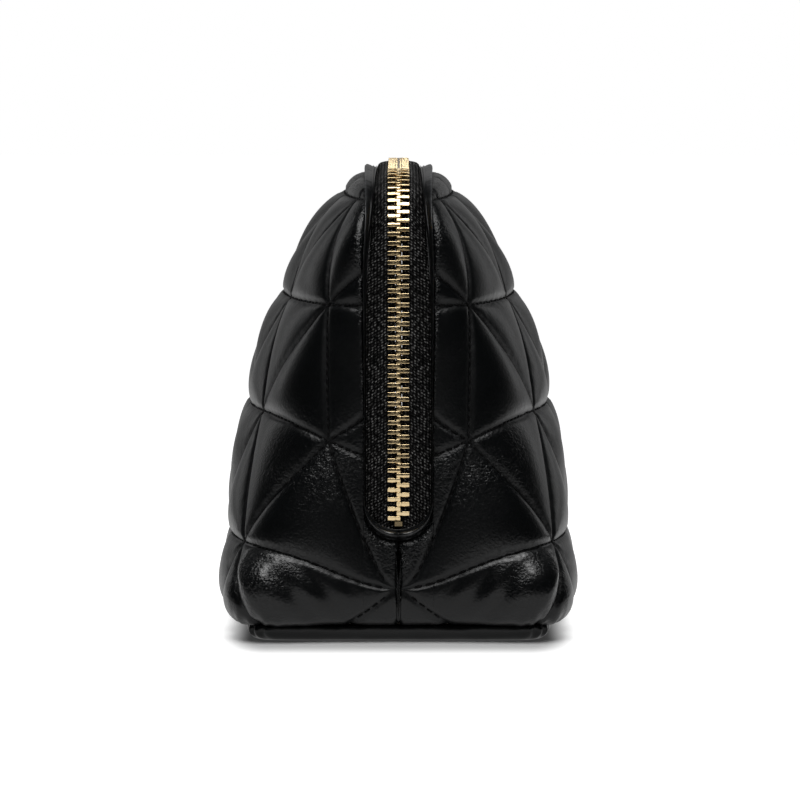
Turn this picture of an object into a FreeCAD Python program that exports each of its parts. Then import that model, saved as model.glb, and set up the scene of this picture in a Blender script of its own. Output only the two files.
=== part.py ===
"""Quilted leather zip pouch: a soft case on a flat base, closed by a metal zip that runs over its top and down both ends.

The frame has +Z up and the origin at the middle of the base. X runs along the pouch, the front wall is at -Y,
and the zip's closed end, with the slider, is at -X.
"""

import FreeCAD, Part
import math
import os
import Sketcher
from FreeCAD import Placement, Rotation, Vector

doc = FreeCAD.newDocument("quilted_zip_pouch")


# Driving dimensions, in millimetres, degrees and plain counts

DIMENSIONS = [
    ("zip_foot_height", 31.0, "height of the zip's two lower ends"),
    ("zip_foot_reach", 98.05, "distance of those ends from the middle, along X"),
    ("zip_top_height", 122.8, "height of the zip tape along the top"),
    ("zip_corner_radius", 25.0, "bend of the zip from each end to the top"),
    ("end_tilt", 8.6, "lean of the two ends, degrees from upright"),
    ("half_depth", 46.0, "half the widest part of the body, along Y"),
    ("apex_height", 128.0, "height where the two walls would meet"),
    ("wall_power", 2.6, "how long a wall stays upright before it leans in"),
    ("wall_round", 0.75, "how full a wall is under the apex"),
    ("plan_taper", 1.7, "superellipse power of the plan along X, near the top"),
    ("plan_bluntness", 4.0, "superellipse power of the plan along Y, near the top"),
    ("plan_boxiness", 7.0, "what the base, a rounded box, adds to both powers"),
    ("plan_fade", 28.0, "height over which the plan turns from boxy to oval"),
    ("lip_stand", 3.0, "how far the leather stands out from the zip tape"),
    ("wall_foot_height", 4.5, "height of the seam between the walls and the base"),
    ("tuck_height", 18.0, "height below which the walls curl in to that seam"),
    ("tuck_side", 5.0, "how far a long wall curls in"),
    ("tuck_end", 6.0, "how far an end curls in"),
    ("seam_gap", 0.15, "half the gap between the two walls at the end seams"),
    ("leather_thick", 1.2, "outer leather"),
    ("layer_gap", 0.12, "air between neighbouring layers"),
    ("wadding_thick", 2.5, "foam behind the leather"),
    ("lining_thick", 0.6, "lining cloth"),
    ("hem_thick", 2.2, "leather folded back along the zip"),
    ("hem_width", 3.2, "width of that fold"),
    ("slot_half", 9.0, "half the zip opening between the two folds"),
    ("slot_foot", 29.5, "height of the opening's rounded lower ends"),
    ("inner_setback", 5.0, "distance of the wadding and lining from the opening, past the tape's edge"),
    ("quilt_cell", 46.0, "side of a quilted triangle, along the wall"),
    ("quilt_columns", 3.0, "triangles from an end seam to the middle of the wall"),
    ("quilt_row_0", 25.8, "height of the lowest row of quilting"),
    ("quilt_row_1", 58.8, "height of the second row"),
    ("quilt_row_2", 88.5, "height of the third row"),
    ("quilt_row_3", 116.0, "height of the top row"),
    ("quilt_droop", 11.5, "how far the low rows sink at the end seams"),
    ("quilt_droop_width", 24.0, "distance from an end seam over which they sink"),
    ("pillow", 2.1, "how far the leather swells between its quilting seams"),
    ("pillow_edge", 5.0, "distance over which it flattens to a hem or an end seam"),
    ("topstitch", 2.35, "stitching from the folded edge"),
    ("base_inset", 0.5, "how far the base stays inside the walls' foot"),
    ("base_round", 3.0, "rounding of the base's lower edge"),
    ("board_inset", 1.6, "gap round the base board inside the walls' foot"),
    ("board_thick", 1.5, "stiffening board"),
    ("pitch", 2.5, "zip teeth along one tape"),
    ("tooth_reach", 2.9, "half the width of the closed chain"),
    ("tooth_cross", 0.9, "how far a tooth's head passes the middle"),
    ("tooth_half_height", 1.2, "half a tooth's height"),
    ("tooth_thick", 1.08, "a tooth along the chain"),
    ("tooth_bevel", 0.3, "chamfer of a tooth's head"),
    ("tape_edge", 1.0, "tape's inner edge from the middle"),
    ("tape_flat", 4.9, "half the flat middle of the tape"),
    ("tape_half", 13.0, "tape's outer edge from the middle"),
    ("tape_thick", 0.7, "woven tape"),
    ("tape_tail", 6.0, "tape below the zip's foot"),
    ("tape_drop", 1.0, "tape's outer part below the folded leather"),
    ("crimp_gap", 0.08, "clearance of a tooth round the tape"),
    ("slider_length", 10.0, "slider along the chain"),
    ("slider_front_half", 4.75, "half the slider's wide end"),
    ("slider_rear_half", 3.9, "half the slider's narrow end"),
    ("slider_height", 6.0, "slider's two plates and the channel"),
    ("channel_height", 3.4, "channel for the teeth"),
    ("channel_half", 3.15, "half the channel at the narrow end"),
    ("channel_front_half", 4.1, "half the channel at the wide end"),
    ("side_slot", 2.2, "slot for the tape between the slider's flanges"),
    ("divider_half", 0.85, "half the post that parts the two chains"),
    ("divider_length", 3.4, "that post along the chain"),
    ("bridge_width", 2.4, "arch on the slider, across the chain"),
    ("bridge_length", 7.0, "arch along the chain"),
    ("bridge_height", 3.7, "arch above the slider"),
    ("bridge_bar", 1.1, "thickness of the arch"),
    ("pull_length", 25.0, "pull tab below its bar"),
    ("pull_half", 3.9, "half the pull tab's width"),
    ("pull_neck_half", 3.3, "half its width at the bar"),
    ("pull_thick", 1.5, "pull tab"),
    ("pull_bar", 1.5, "bar that hangs in the arch"),
    ("pull_window_half", 1.9, "half the window beside the arch"),
    ("pull_window_length", 6.0, "window along the tab"),
    ("pull_lean", 4.0, "pull tab's lean off the end wall, degrees"),
    ("slider_rest", 12.5, "slider's middle above the zip's foot, along the chain"),
    ("stop_length", 1.2, "end stops along the chain"),
    ("top_stop_drop", 0.4, "top stops below the zip's foot"),
    ("stop_half_height", 1.1, "half the height of an end stop"),
    ("stop_reach", 3.1, "outer side of a top stop from the middle"),
]

sheet = doc.addObject("Spreadsheet::Sheet", "Dimensions")
for row, (alias, value, note) in enumerate(DIMENSIONS, start=1):
    sheet.set(f"A{row}", note)
    sheet.set(f"B{row}", str(value))
    sheet.setAlias(f"B{row}", alias)
doc.recompute()


def size(alias):
    """A driving dimension, read from the sheet."""
    return float(sheet.get(alias))


def bind(thing, prop, expression):
    """Binds a property to the sheet, with each alias written as <alias>."""
    thing.setExpression(prop, expression.replace("<", "Dimensions.").replace(">", ""))


# The zip's line: up one end, round a corner, along the top and down the other end

TILT = math.radians(size("end_tilt"))
CORNER_Z = size("zip_top_height") - size("zip_corner_radius")
CORNER_X = size("zip_foot_reach") - (
    size("zip_corner_radius") + (CORNER_Z - size("zip_foot_height")) * math.sin(TILT)
) / math.cos(TILT)
RUN_LENGTH = (
    CORNER_Z + size("zip_corner_radius") * math.sin(TILT) - size("zip_foot_height")
) / math.cos(TILT)
BEND_LENGTH = size("zip_corner_radius") * (math.pi / 2 - TILT)
HALF_ZIP = RUN_LENGTH + BEND_LENGTH + CORNER_X
ZIP_LENGTH = 2 * HALF_ZIP


def zip_frame(along):
    """Point, direction and outward normal of the zip's line at a length from its foot at +X."""
    if along > HALF_ZIP:
        point, direction, normal = zip_frame(ZIP_LENGTH - along)
        return (
            Vector(-point.x, 0, point.z),
            Vector(direction.x, 0, -direction.z),
            Vector(-normal.x, 0, normal.z),
        )
    radius = size("zip_corner_radius")
    if along <= RUN_LENGTH:
        up = along * math.cos(TILT)
        point = Vector(size("zip_foot_reach") - up * math.tan(TILT), 0, size("zip_foot_height") + up)
        angle = TILT
    elif along <= RUN_LENGTH + BEND_LENGTH:
        angle = TILT + (along - RUN_LENGTH) / radius
        point = Vector(CORNER_X + radius * math.cos(angle), 0, CORNER_Z + radius * math.sin(angle))
    else:
        angle = math.pi / 2
        point = Vector(HALF_ZIP - along, 0, size("zip_top_height"))
    return point, Vector(-math.sin(angle), 0, math.cos(angle)), Vector(math.cos(angle), 0, math.sin(angle))


# The body's shape: plan sections that turn from a box at the base to an oval under the zip


def tuck(height, depth):
    """How far the wall curls in at a height, towards its seam with the base."""
    share = (size("tuck_height") - height) / (size("tuck_height") - size("wall_foot_height"))
    return depth * max(0.0, share) ** 2


def end_reach(height):
    """Half the body's length at a height: the zip's line, stood off by the lip."""
    radius = size("zip_corner_radius") + size("lip_stand")
    if height > CORNER_Z + radius * math.sin(TILT):
        return CORNER_X + math.sqrt(max(0.0, radius**2 - (height - CORNER_Z) ** 2))
    on_run = size("zip_foot_reach") - (height - size("zip_foot_height")) * math.tan(TILT)
    return on_run + size("lip_stand") / math.cos(TILT) - tuck(height, size("tuck_end"))


def side_reach(height):
    """Half the body's depth at a height."""
    fullness = 1 - (height / size("apex_height")) ** size("wall_power")
    return size("half_depth") * fullness ** size("wall_round") - tuck(height, size("tuck_side"))


def height_where(reach):
    """The height at which half the body's depth is down to a value, near the top."""
    fullness = (reach / size("half_depth")) ** (1 / size("wall_round"))
    return size("apex_height") * (1 - fullness) ** (1 / size("wall_power"))


def plan_powers(height):
    """Superellipse powers along X and Y at a height."""
    boxy = size("plan_boxiness") * math.exp(-((height / size("plan_fade")) ** 1.5))
    return size("plan_taper") + boxy, size("plan_bluntness") + boxy


def plan_point(length, depth, powers, angle):
    """A point of a superellipse with the given half sizes, on a ray from its middle."""
    c, s = math.cos(angle), math.sin(angle)
    low, high = 0.5, 1.5
    for _ in range(50):
        scale = (low + high) / 2
        if abs(c * scale) ** powers[0] + abs(s * scale) ** powers[1] < 1:
            low = scale
        else:
            high = scale
    return length * c * scale, depth * s * scale


PLAN_STEPS = 32
HIDDEN_STEPS = 16
LOOSE_STEPS = 8
NARROWEST = 5.0
WALL_FOOT = size("wall_foot_height")
INNER_FOOT = WALL_FOOT + size("board_thick") + size("lining_thick") + 4 * size("layer_gap")
STATIONS = [WALL_FOOT, INNER_FOOT, 11, 18, 32, 52, 72, 90, 104, 112, 118]


def plan_angle(share):
    """Angle of a plan section's point, from 0 at the +X end to 1 at the -X end, with more points at the corners."""
    quarter, part = divmod(2 * share, 1)
    from_corner = 2 * part - 1
    return math.pi / 4 * (1 + 2 * quarter + math.copysign(abs(from_corner) ** 1.6, from_corner))


def half_plan(height, inset, steps):
    """Points of the front half of a plan section, from end to end."""
    gap = size("seam_gap")
    length, depth = end_reach(height) - inset, side_reach(height) - inset - gap
    points = []
    for step in range(steps + 1):
        x, y = plan_point(length, depth, plan_powers(height), -plan_angle(step / steps))
        points.append(Vector(x, min(y, 0.0) - gap, height))
    return points


def half_heights(inset, foot):
    return [foot] + [h for h in STATIONS if h > foot] + [height_where(NARROWEST + inset)]


def faceted(sections, name):
    """A solid with flat facets through sections that have the same number of corners."""
    outlines = [sections[0], sections[-1]]
    for near, far in zip(sections, sections[1:]):
        for corner in range(len(near)):
            outlines.append([near[corner - 1], near[corner], far[corner - 1]])
            outlines.append([near[corner], far[corner], far[corner - 1]])
    faces = [Part.Face(Part.makePolygon(outline + outline[:1])) for outline in outlines]
    made = doc.addObject("Part::Feature", name)
    made.Shape = Part.makeSolid(Part.makeShell(faces))
    return made


def faceted_half(inset, foot, steps, name):
    """The front half of the body with flat facets, for layers that stay hidden."""
    return faceted([half_plan(height, inset, steps) for height in half_heights(inset, foot)], name)


def cut(base, tool, name):
    made = doc.addObject("Part::Cut", name)
    made.Base, made.Tool = base, tool
    return made


def mirrored(source, label):
    """The back wall's copy of a front wall's piece."""
    made = doc.addObject("Part::Mirroring", label)
    made.Source = source
    made.Normal = Vector(0, 1, 0)
    made.Label = label
    return made


def plane_of(body, role):
    return next(f for f in body.Origin.OriginFeatures if f.Role == role)


def add_sketch(body, role, name):
    """A sketch on one of its body's own origin planes."""
    drawn = body.newObject("Sketcher::SketchObject", name)
    drawn.AttachmentSupport = [(plane_of(body, role), "")]
    drawn.MapMode = "FlatFace"
    return drawn


def draw_outline(drawn, corners):
    """Adds a closed outline of straight sides and fixes its corners; each corner is two expressions on the sheet."""
    points = [[drawn.evalExpression(e.replace("<", "Dimensions.").replace(">", "")) for e in c] for c in corners]
    points = [Vector(float(x), float(y), 0) for x, y in points]
    first = drawn.GeometryCount
    count = len(points)
    for i in range(count):
        drawn.addGeometry(Part.LineSegment(points[i], points[(i + 1) % count]), False)
    for i in range(count):
        drawn.addConstraint(Sketcher.Constraint("Coincident", first + i, 2, first + (i + 1) % count, 1))
    for i, corner in enumerate(corners):
        for kind, expression, value in zip(("DistanceX", "DistanceY"), corner, points[i]):
            made = drawn.addConstraint(Sketcher.Constraint(kind, -1, 1, first + i, 1, value))
            bind(drawn, f"Constraints[{made}]", expression)
    return first


def full_plan(height, length, depth, powers, name):
    """A whole plan section."""
    shares = [step / PLAN_STEPS for step in range(PLAN_STEPS)]
    angles = [side * math.pi + plan_angle(share) for side in (0, 1) for share in shares]
    points = [Vector(*plan_point(length, depth, powers, angle), height) for angle in angles]
    section = doc.addObject("Part::Feature", name)
    section.Shape = Part.makePolygon(points + points[:1])
    return section


# Openings cut through the walls for the zip, each a tunnel along X with a rounded floor


def zip_tunnel(setback, rounding, name):
    block = doc.addObject("Part::Box", f"{name}_block")
    bind(block, "Length", "4 * <zip_foot_reach>")
    bind(block, "Width", f"2 * (<slot_half> + {setback})")
    bind(block, "Height", "<apex_height>")
    bind(block, "Placement.Base.x", "-2 * <zip_foot_reach>")
    bind(block, "Placement.Base.y", f"-(<slot_half> + {setback})")
    bind(block, "Placement.Base.z", f"<slot_foot> - {setback}")
    doc.recompute()
    low = block.Shape.BoundBox.ZMin
    floor_edges = [
        number
        for number, edge in enumerate(block.Shape.Edges, start=1)
        if edge.BoundBox.XLength > size("zip_foot_reach") and abs(edge.CenterOfMass.z - low) < 0.01
    ]
    rounded = doc.addObject("Part::Fillet", name)
    rounded.Base = block
    radius = rounding * block.Width.Value / 2
    rounded.Edges = [(number, radius, radius) for number in floor_edges]
    return rounded


leather_tunnel = zip_tunnel("0", 0.95, "leather_tunnel")
hem_tunnel = zip_tunnel("<hem_width>", 0.95, "hem_tunnel")
inner_tunnel = zip_tunnel("<inner_setback>", 0.03, "inner_tunnel")


# Quilting: the leather is stitched to its wadding in a lattice of triangles and swells between the seams

BODY_TOP = round(height_where(NARROWEST), 6)
ROW_HEIGHTS = [size(f"quilt_row_{row}") for row in range(4)]
ROW_SHIFTS = [-0.13, -0.27, -0.115, 0.0]
CELL_PARTS = 4
RUN_STEPS = 48
RUN_LEVELS = 40
FLATNESS = 0.45


def on_list(values, place):
    """A value between the entries of a list, held at its two ends."""
    place = min(max(place, 0.0), len(values) - 1.0)
    low = min(int(place), len(values) - 2)
    return values[low] + (values[low + 1] - values[low]) * (place - low)


def eased(low, high, value):
    share = min(max((value - low) / (high - low), 0.0), 1.0)
    return share * share * (3 - 2 * share)


def wall_point(height, angle):
    """A point of the front wall's outside, before quilting; the angle is 0 at the end seam."""
    depth = side_reach(height) - size("seam_gap")
    x, y = plan_point(end_reach(height), depth, plan_powers(height), -angle)
    return Vector(x, min(y, 0.0) - size("seam_gap"), height)


def plan_runs(height):
    """Lengths along a plan section from its end seam to the wall's middle, at even angles."""
    points = [wall_point(height, math.pi / 2 * step / RUN_STEPS) for step in range(RUN_STEPS + 1)]
    runs = [0.0]
    for near, far in zip(points, points[1:]):
        runs.append(runs[-1] + near.distanceToPoint(far))
    return runs


RUNS = [plan_runs(WALL_FOOT + (BODY_TOP - WALL_FOOT) * level / RUN_LEVELS) for level in range(RUN_LEVELS + 1)]
HALF_WALLS = [runs[-1] for runs in RUNS]


def half_wall(height):
    """Length of the wall from its end seam to its middle."""
    return on_list(HALF_WALLS, (height - WALL_FOOT) / (BODY_TOP - WALL_FOOT) * RUN_LEVELS)


def angle_for(share, runs):
    reach = share * runs[-1]
    step = next((n for n in range(1, RUN_STEPS) if runs[n] > reach), RUN_STEPS)
    return math.pi / 2 * (step - 1 + (reach - runs[step - 1]) / (runs[step] - runs[step - 1])) / RUN_STEPS


def on_wall(share, height):
    """A point of the wall's outside at a share of the way from its end seam to its middle."""
    place = min(max((height - WALL_FOOT) / (BODY_TOP - WALL_FOOT) * RUN_LEVELS, 0.0), RUN_LEVELS)
    level = min(int(place), RUN_LEVELS - 1)
    low, high = angle_for(share, RUNS[level]), angle_for(share, RUNS[level + 1])
    return wall_point(height, low + (high - low) * (place - level))


def droop(from_seam, height):
    """How far a row of quilting sinks near an end seam."""
    near = math.exp(-((from_seam / size("quilt_droop_width")) ** 2))
    return size("quilt_droop") * near * (1 - eased(45, 92, height))


def row_of(height):
    """Row of the lattice at a height, counted from the lowest."""
    top = len(ROW_HEIGHTS) - 1
    row = sum(1 for level in ROW_HEIGHTS[1:top] if height > level)
    return row + (height - ROW_HEIGHTS[row]) / (ROW_HEIGHTS[row + 1] - ROW_HEIGHTS[row])


def height_of(row):
    low = min(max(math.floor(row), 0), len(ROW_HEIGHTS) - 2)
    return ROW_HEIGHTS[low] + (row - low) * (ROW_HEIGHTS[low + 1] - ROW_HEIGHTS[low])


def quilt_place(share, height):
    """Column and row of the lattice at a place on the wall."""
    half = half_wall(height)
    row = row_of(height + droop(share * half, height))
    column = size("quilt_columns") - half * (1 - share) / size("quilt_cell") + on_list(ROW_SHIFTS, row) * (1 - share)
    return column, row


def wall_place(column, row):
    """Share and height on the wall at a place of the lattice."""
    height, shift = height_of(row), on_list(ROW_SHIFTS, row)
    for _ in range(30):
        half = half_wall(height)
        share = 1 + (column - size("quilt_columns")) / (half / size("quilt_cell") - shift)
        height += 0.6 * (height_of(row) - droop(share * half, height) - height)
    return share, height


def from_edges(share, height):
    """Distance of a place on the wall from its topstitching, its foot and the lower end seam."""
    across = -on_wall(share, height).y
    rounding = 0.95 * size("slot_half")
    above = height - size("slot_foot") - rounding
    lip = across - size("slot_half") if above > 0 else math.hypot(across, above) - rounding
    seam = share * half_wall(height) + 0.3 if height < size("slot_foot") + 3 else lip
    return max(0.0, min(lip - size("topstitch"), height - WALL_FOOT + 0.8, seam))


def swell(share, height):
    """How far the leather stands out at a place on the wall."""
    column, row = quilt_place(share, height)
    p, q = (column - row / 2) % 1, row % 1
    corner = abs(1 - p - q)
    dome = 27 * corner * (p * q if p + q < 1 else (1 - p) * (1 - q))
    fade = 1 - math.exp(-((from_edges(share, height) / size("pillow_edge")) ** 1.4))
    return size("pillow") * max(dome, 0.0) ** 0.75 * fade


def quilted_point(share, height):
    """A point of the quilted leather's outside, on the +X half of the front wall."""
    at = on_wall(share, height)
    if share <= 0 or height <= WALL_FOOT or height >= BODY_TOP:
        return at
    along = on_wall(min(share + 0.01, 1), height) - on_wall(max(share - 0.01, 0), height)
    up = on_wall(share, min(height + 0.4, BODY_TOP)) - on_wall(share, max(height - 0.4, WALL_FOOT))
    out = up.cross(along).normalize()
    if out.dot(at - Vector(0, 0, height - 10)) < 0:
        out = out * -1
    at = at + out * swell(share, height)
    return Vector(0 if share >= 1 else at.x, min(at.y, -size("seam_gap")), at.z)


def clipped(outline, axis, limit, keep):
    """The part of an outline on one side of a line across the wall's shares or heights."""
    kept = []
    for near, far in zip(outline[-1:] + outline[:-1], outline):
        inside = [keep * (place[axis] - limit) >= 0 for place in (near, far)]
        if inside[0] != inside[1]:
            first, last = sorted((near, far))
            part = (limit - first[axis]) / (last[axis] - first[axis])
            crossing = [a + (b - a) * part for a, b in zip(first, last)]
            crossing[axis] = limit
            kept.append(tuple(round(value, 9) for value in crossing))
        if inside[1]:
            kept.append(far)
    return [place for number, place in enumerate(kept) if place != kept[number - 1]]


def lattice_corner(column_part, row_part):
    """Place on the wall of a corner of the divided lattice; one that is almost on an edge moves to it."""
    row = row_part / CELL_PARTS
    share, height = wall_place(column_part / CELL_PARTS + row / 2, row)
    share = min((0.0, 1.0, share), key=lambda edge: abs(edge - share) > 0.025 and edge != share)
    height = WALL_FOOT if abs(height - WALL_FOOT) < 2 else height
    return round(share, 9), round(height, 9)


def lattice_triangles():
    """Every triangle of the divided lattice on the +X half of the wall, as places on it."""
    columns = range(-4 * CELL_PARTS, 5 * CELL_PARTS)
    rows = range(-CELL_PARTS, 4 * CELL_PARTS)
    corners = {(c, r): lattice_corner(c, r) for c in columns for r in rows}
    found = []
    for c, r in corners:
        if (c + 1, r + 1) not in corners:
            continue
        for outline in ([(c, r), (c + 1, r), (c, r + 1)], [(c + 1, r), (c + 1, r + 1), (c, r + 1)]):
            places = [corners[corner] for corner in outline]
            for axis, limit, keep in ((0, 0.0, 1), (0, 1.0, -1), (1, WALL_FOOT, 1), (1, BODY_TOP, -1)):
                places = clipped(places, axis, limit, keep) if len(places) > 2 else []
            found += [[places[0], near, far] for near, far in zip(places[1:], places[2:])]
    return found


def refined(triangles):
    """Splits every edge whose middle lies off the quilted leather."""
    points, middles = {}, {}

    def point(place):
        if place not in points:
            points[place] = quilted_point(*place)
        return points[place]

    def middle(near, far):
        ends = tuple(sorted((near, far)))
        if ends not in middles:
            place = tuple(round((a + b) / 2, 9) for a, b in zip(near, far))
            chord = (point(near) + point(far)) * 0.5
            middles[ends] = place if chord.distanceToPoint(point(place)) > FLATNESS else None
        return middles[ends]

    found = []
    for triangle in triangles:
        splits = [middle(triangle[n], triangle[(n + 1) % 3]) for n in range(3)]
        count = sum(split is not None for split in splits)
        while count in (1, 2) and (splits[0] is None or (count == 2 and splits[1] is None)):
            triangle, splits = triangle[1:] + triangle[:1], splits[1:] + splits[:1]
        a, b, c = triangle
        ab, bc, ca = splits
        if count == 0:
            found.append([a, b, c])
        elif count == 1:
            found += [[a, ab, c], [ab, b, c]]
        elif count == 2:
            found += [[ab, b, bc], [a, ab, bc], [a, bc, c]]
        else:
            found += [[a, ab, ca], [ab, b, bc], [ca, bc, c], [ab, bc, ca]]
    return found, point


def quilted_half(name):
    """The front half of the body with its quilted outside, as a solid with flat facets."""
    triangles, point = refined(lattice_triangles())
    outlines = []
    for triangle in triangles:
        corners = [point(place) for place in triangle]
        outlines += [corners, [Vector(-p.x, p.y, p.z) for p in corners]]
    places = {place for triangle in triangles for place in triangle}
    for axis, limit in ((1, WALL_FOOT), (1, BODY_TOP), (0, 0.0)):
        edge = [point(place) for place in sorted(places) if place[axis] == limit]
        edge = sorted(edge, key=lambda p: (-p.x if axis else p.z))
        far = [Vector(-p.x, p.y, p.z) for p in reversed(edge)]
        outlines.append(edge + (far[1:] if axis else far))
    faces = [Part.Face(Part.makePolygon(outline + outline[:1])) for outline in outlines]
    made = doc.addObject("Part::Feature", name)
    shell = Part.makeShell(faces)
    shell.sewShape()
    made.Shape = Part.makeSolid(shell)
    return made


# Walls: leather with a folded edge along the zip, wadding behind it and a lining inside

UNDERCUT = 1.5

outer_body = quilted_half("outer_body")
leather_core = faceted_half(size("leather_thick"), WALL_FOOT - UNDERCUT, HIDDEN_STEPS, "leather_core")
hem_core = faceted_half(size("hem_thick"), WALL_FOOT - UNDERCUT, HIDDEN_STEPS, "hem_core")
thin_core = cut(leather_core, hem_tunnel, "thin_core")
thick_wall = cut(outer_body, hem_core, "thick_wall")
open_wall = cut(thick_wall, leather_tunnel, "open_wall")
front_panel = cut(open_wall, thin_core, "front_panel")

wadding_out = size("leather_thick") + size("layer_gap")
wadding_in = wadding_out + size("wadding_thick")
wadding_body = faceted_half(wadding_out, INNER_FOOT, LOOSE_STEPS, "wadding_body")
wadding_core = faceted_half(wadding_in, INNER_FOOT - UNDERCUT, LOOSE_STEPS, "wadding_core")
wadding_wall = cut(wadding_body, wadding_core, "wadding_wall")
front_wadding = cut(wadding_wall, inner_tunnel, "front_wadding")

lining_out = wadding_in + size("layer_gap")
lining_in = lining_out + size("lining_thick")
lining_body = faceted_half(lining_out, INNER_FOOT, LOOSE_STEPS, "lining_body")
lining_core = faceted_half(lining_in, INNER_FOOT - UNDERCUT, LOOSE_STEPS, "lining_core")
lining_wall = cut(lining_body, lining_core, "lining_wall")
front_lining = cut(lining_wall, inner_tunnel, "front_lining")

back_panel = mirrored(front_panel, "back_panel")
back_wadding = mirrored(front_wadding, "back_wadding")
back_lining = mirrored(front_lining, "back_lining")


# Base: a leather panel with a rounded rim, turned up round a layer of wadding, then a stiff board and its lining

base_length = end_reach(WALL_FOOT) - size("base_inset")
base_depth = side_reach(WALL_FOOT) - size("base_inset")
base_powers = plan_powers(WALL_FOOT)
base_body = doc.addObject("Part::Loft", "base_body")
base_sections = []
for turn in (90, 45, 0):
    drop = size("base_round") * (1 - math.sin(math.radians(turn)))
    draw_in = size("base_round") * (1 - math.cos(math.radians(turn)))
    base_sections.append(
        full_plan(drop, base_length - draw_in, base_depth - draw_in, base_powers, f"base_plan_{turn}")
    )
top_of_base = WALL_FOOT - size("layer_gap")
base_sections.append(full_plan(top_of_base, base_length, base_depth, base_powers, "base_plan_top"))
base_body.Sections = base_sections
base_body.Solid = True
base_body.Ruled = True


def base_sheet(foot, thickness, inset, name):
    """A flat sheet over the base, inside the foot of the walls."""
    outline = full_plan(foot, base_length - inset, base_depth - inset, base_powers, f"{name}_outline")
    sheet_piece = doc.addObject("Part::Extrusion", name)
    sheet_piece.Base = outline
    sheet_piece.Dir = Vector(0, 0, 1)
    bind(sheet_piece, "LengthFwd", thickness)
    sheet_piece.Solid = True
    return sheet_piece


rim_thick = 1.5 * size("leather_thick")
base_hollow = base_sheet(size("leather_thick"), "<wall_foot_height>", rim_thick, "base_hollow")
base_panel = cut(base_body, base_hollow, "base_panel")
base_wadding = base_sheet(
    size("leather_thick") + size("layer_gap"),
    "<wall_foot_height> - <leather_thick> - 2 * <layer_gap>",
    rim_thick + size("layer_gap"),
    "base_wadding",
)
base_board = base_sheet(WALL_FOOT, "<board_thick>", size("board_inset"), "base_board")
base_lining = base_sheet(
    WALL_FOOT + size("board_thick") + size("layer_gap"), "<lining_thick>", size("board_inset") + 0.5, "base_lining"
)


# Zip tapes: flat beside the teeth, then bent down to lie under the folded leather


def wall_level(along, across, inset):
    """Height of the body's surface, drawn in by an inset, over the zip's line at a distance across it."""
    point, _, normal = zip_frame(along)
    low, high = -30.0, 10.0
    for _ in range(40):
        middle = (low + high) / 2
        at = point + normal * middle
        depth = side_reach(min(at.z, size("apex_height") - 0.01)) - inset
        length = end_reach(at.z) - inset
        taper, bluntness = plan_powers(at.z)
        if depth > 0 and (abs(at.x) / length) ** taper + (across / depth) ** bluntness < 1:
            low = middle
        else:
            high = middle
    return low


def tape_section(along):
    """Corners of the front tape's cross-section, at a length from the +X foot."""
    half = size("tape_thick") / 2
    clear = size("hem_thick") + size("tape_drop")
    outer = min(half, wall_level(max(along, 0.0), size("tape_half"), clear))
    top = [(size("tape_edge"), half), (size("tape_flat"), half), (size("tape_half"), outer)]
    rise = (half - outer) / (size("tape_half") - size("tape_flat"))
    drops = (size("tape_thick"), size("tape_thick"), size("tape_thick") * math.sqrt(1 + rise**2))
    outline = top + [(across, level - drop) for (across, level), drop in reversed(list(zip(top, drops)))]
    point, direction, normal = zip_frame(max(along, 0.0))
    point = point + direction * min(along, 0.0)
    return [point + normal * level + Vector(0, -across, 0) for across, level in outline]


half_stations = [-size("tape_tail")]
half_stations += [RUN_LENGTH * step / 8 for step in range(9)]
half_stations += [RUN_LENGTH + BEND_LENGTH * (step + 1) / 16 for step in range(16)]
half_stations += [RUN_LENGTH + BEND_LENGTH + CORNER_X * (step + 1) / 4 for step in range(4)]
near_sections = [tape_section(along) for along in half_stations]
far_sections = [[Vector(-p.x, p.y, p.z) for p in section] for section in reversed(near_sections[:-1])]
front_zip_tape = faceted(near_sections + far_sections, "front_zip_tape")
back_zip_tape = mirrored(front_zip_tape, "back_zip_tape")


# Zip teeth: one tooth drawn across the chain, with a head that passes the middle and two legs round the tape


def across_prism(outline, along, length, side):
    """A piece of the chain: an outline across it, centred on a length from the +X foot."""
    point, direction, normal = zip_frame(along)
    corners = [point + normal * level + Vector(0, side * across, 0) for across, level in outline]
    face = Part.Face(Part.makePolygon(corners + corners[:1]))
    face.translate(direction * (-length / 2))
    return face.extrude(direction * length)


def crimped_outline(reach, head, half_height, bevel):
    """A clip with two legs round the tape's edge and a head that narrows by a bevel."""
    inner = size("tape_edge") - size("crimp_gap")
    leg = size("tape_thick") / 2 + size("crimp_gap")
    return [
        (head, bevel - half_height),
        (reach, -half_height),
        (reach, -leg),
        (inner, -leg),
        (inner, leg),
        (reach, leg),
        (reach, half_height),
        (head, half_height - bevel),
    ]


def chain(start, side, name):
    outline = crimped_outline(
        size("tooth_reach"), -size("tooth_cross"), size("tooth_half_height"), size("tooth_bevel")
    )
    last = ZIP_LENGTH - size("slider_rest")
    count = int((last - start) / size("pitch")) + 1
    teeth = [
        across_prism(outline, start + number * size("pitch"), size("tooth_thick"), side)
        for number in range(count)
    ]
    made = doc.addObject("Part::Feature", name)
    made.Shape = Part.makeCompound(teeth)
    return made


first_tooth = 1.6
front_zip_teeth = chain(first_tooth, -1, "front_zip_teeth")
back_zip_teeth = chain(first_tooth + size("pitch") / 2, 1, "back_zip_teeth")


# End stops: a clip on each tape below the closed slider, and a bar behind both tapes at the other end


def top_stop(side, name):
    outline = crimped_outline(size("stop_reach"), 0.45, size("stop_half_height"), size("tooth_bevel"))
    made = doc.addObject("Part::Feature", name)
    made.Shape = across_prism(outline, ZIP_LENGTH + size("top_stop_drop"), size("stop_length"), side)
    return made


front_top_stop = top_stop(-1, "front_top_stop")
back_top_stop = top_stop(1, "back_top_stop")

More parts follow.
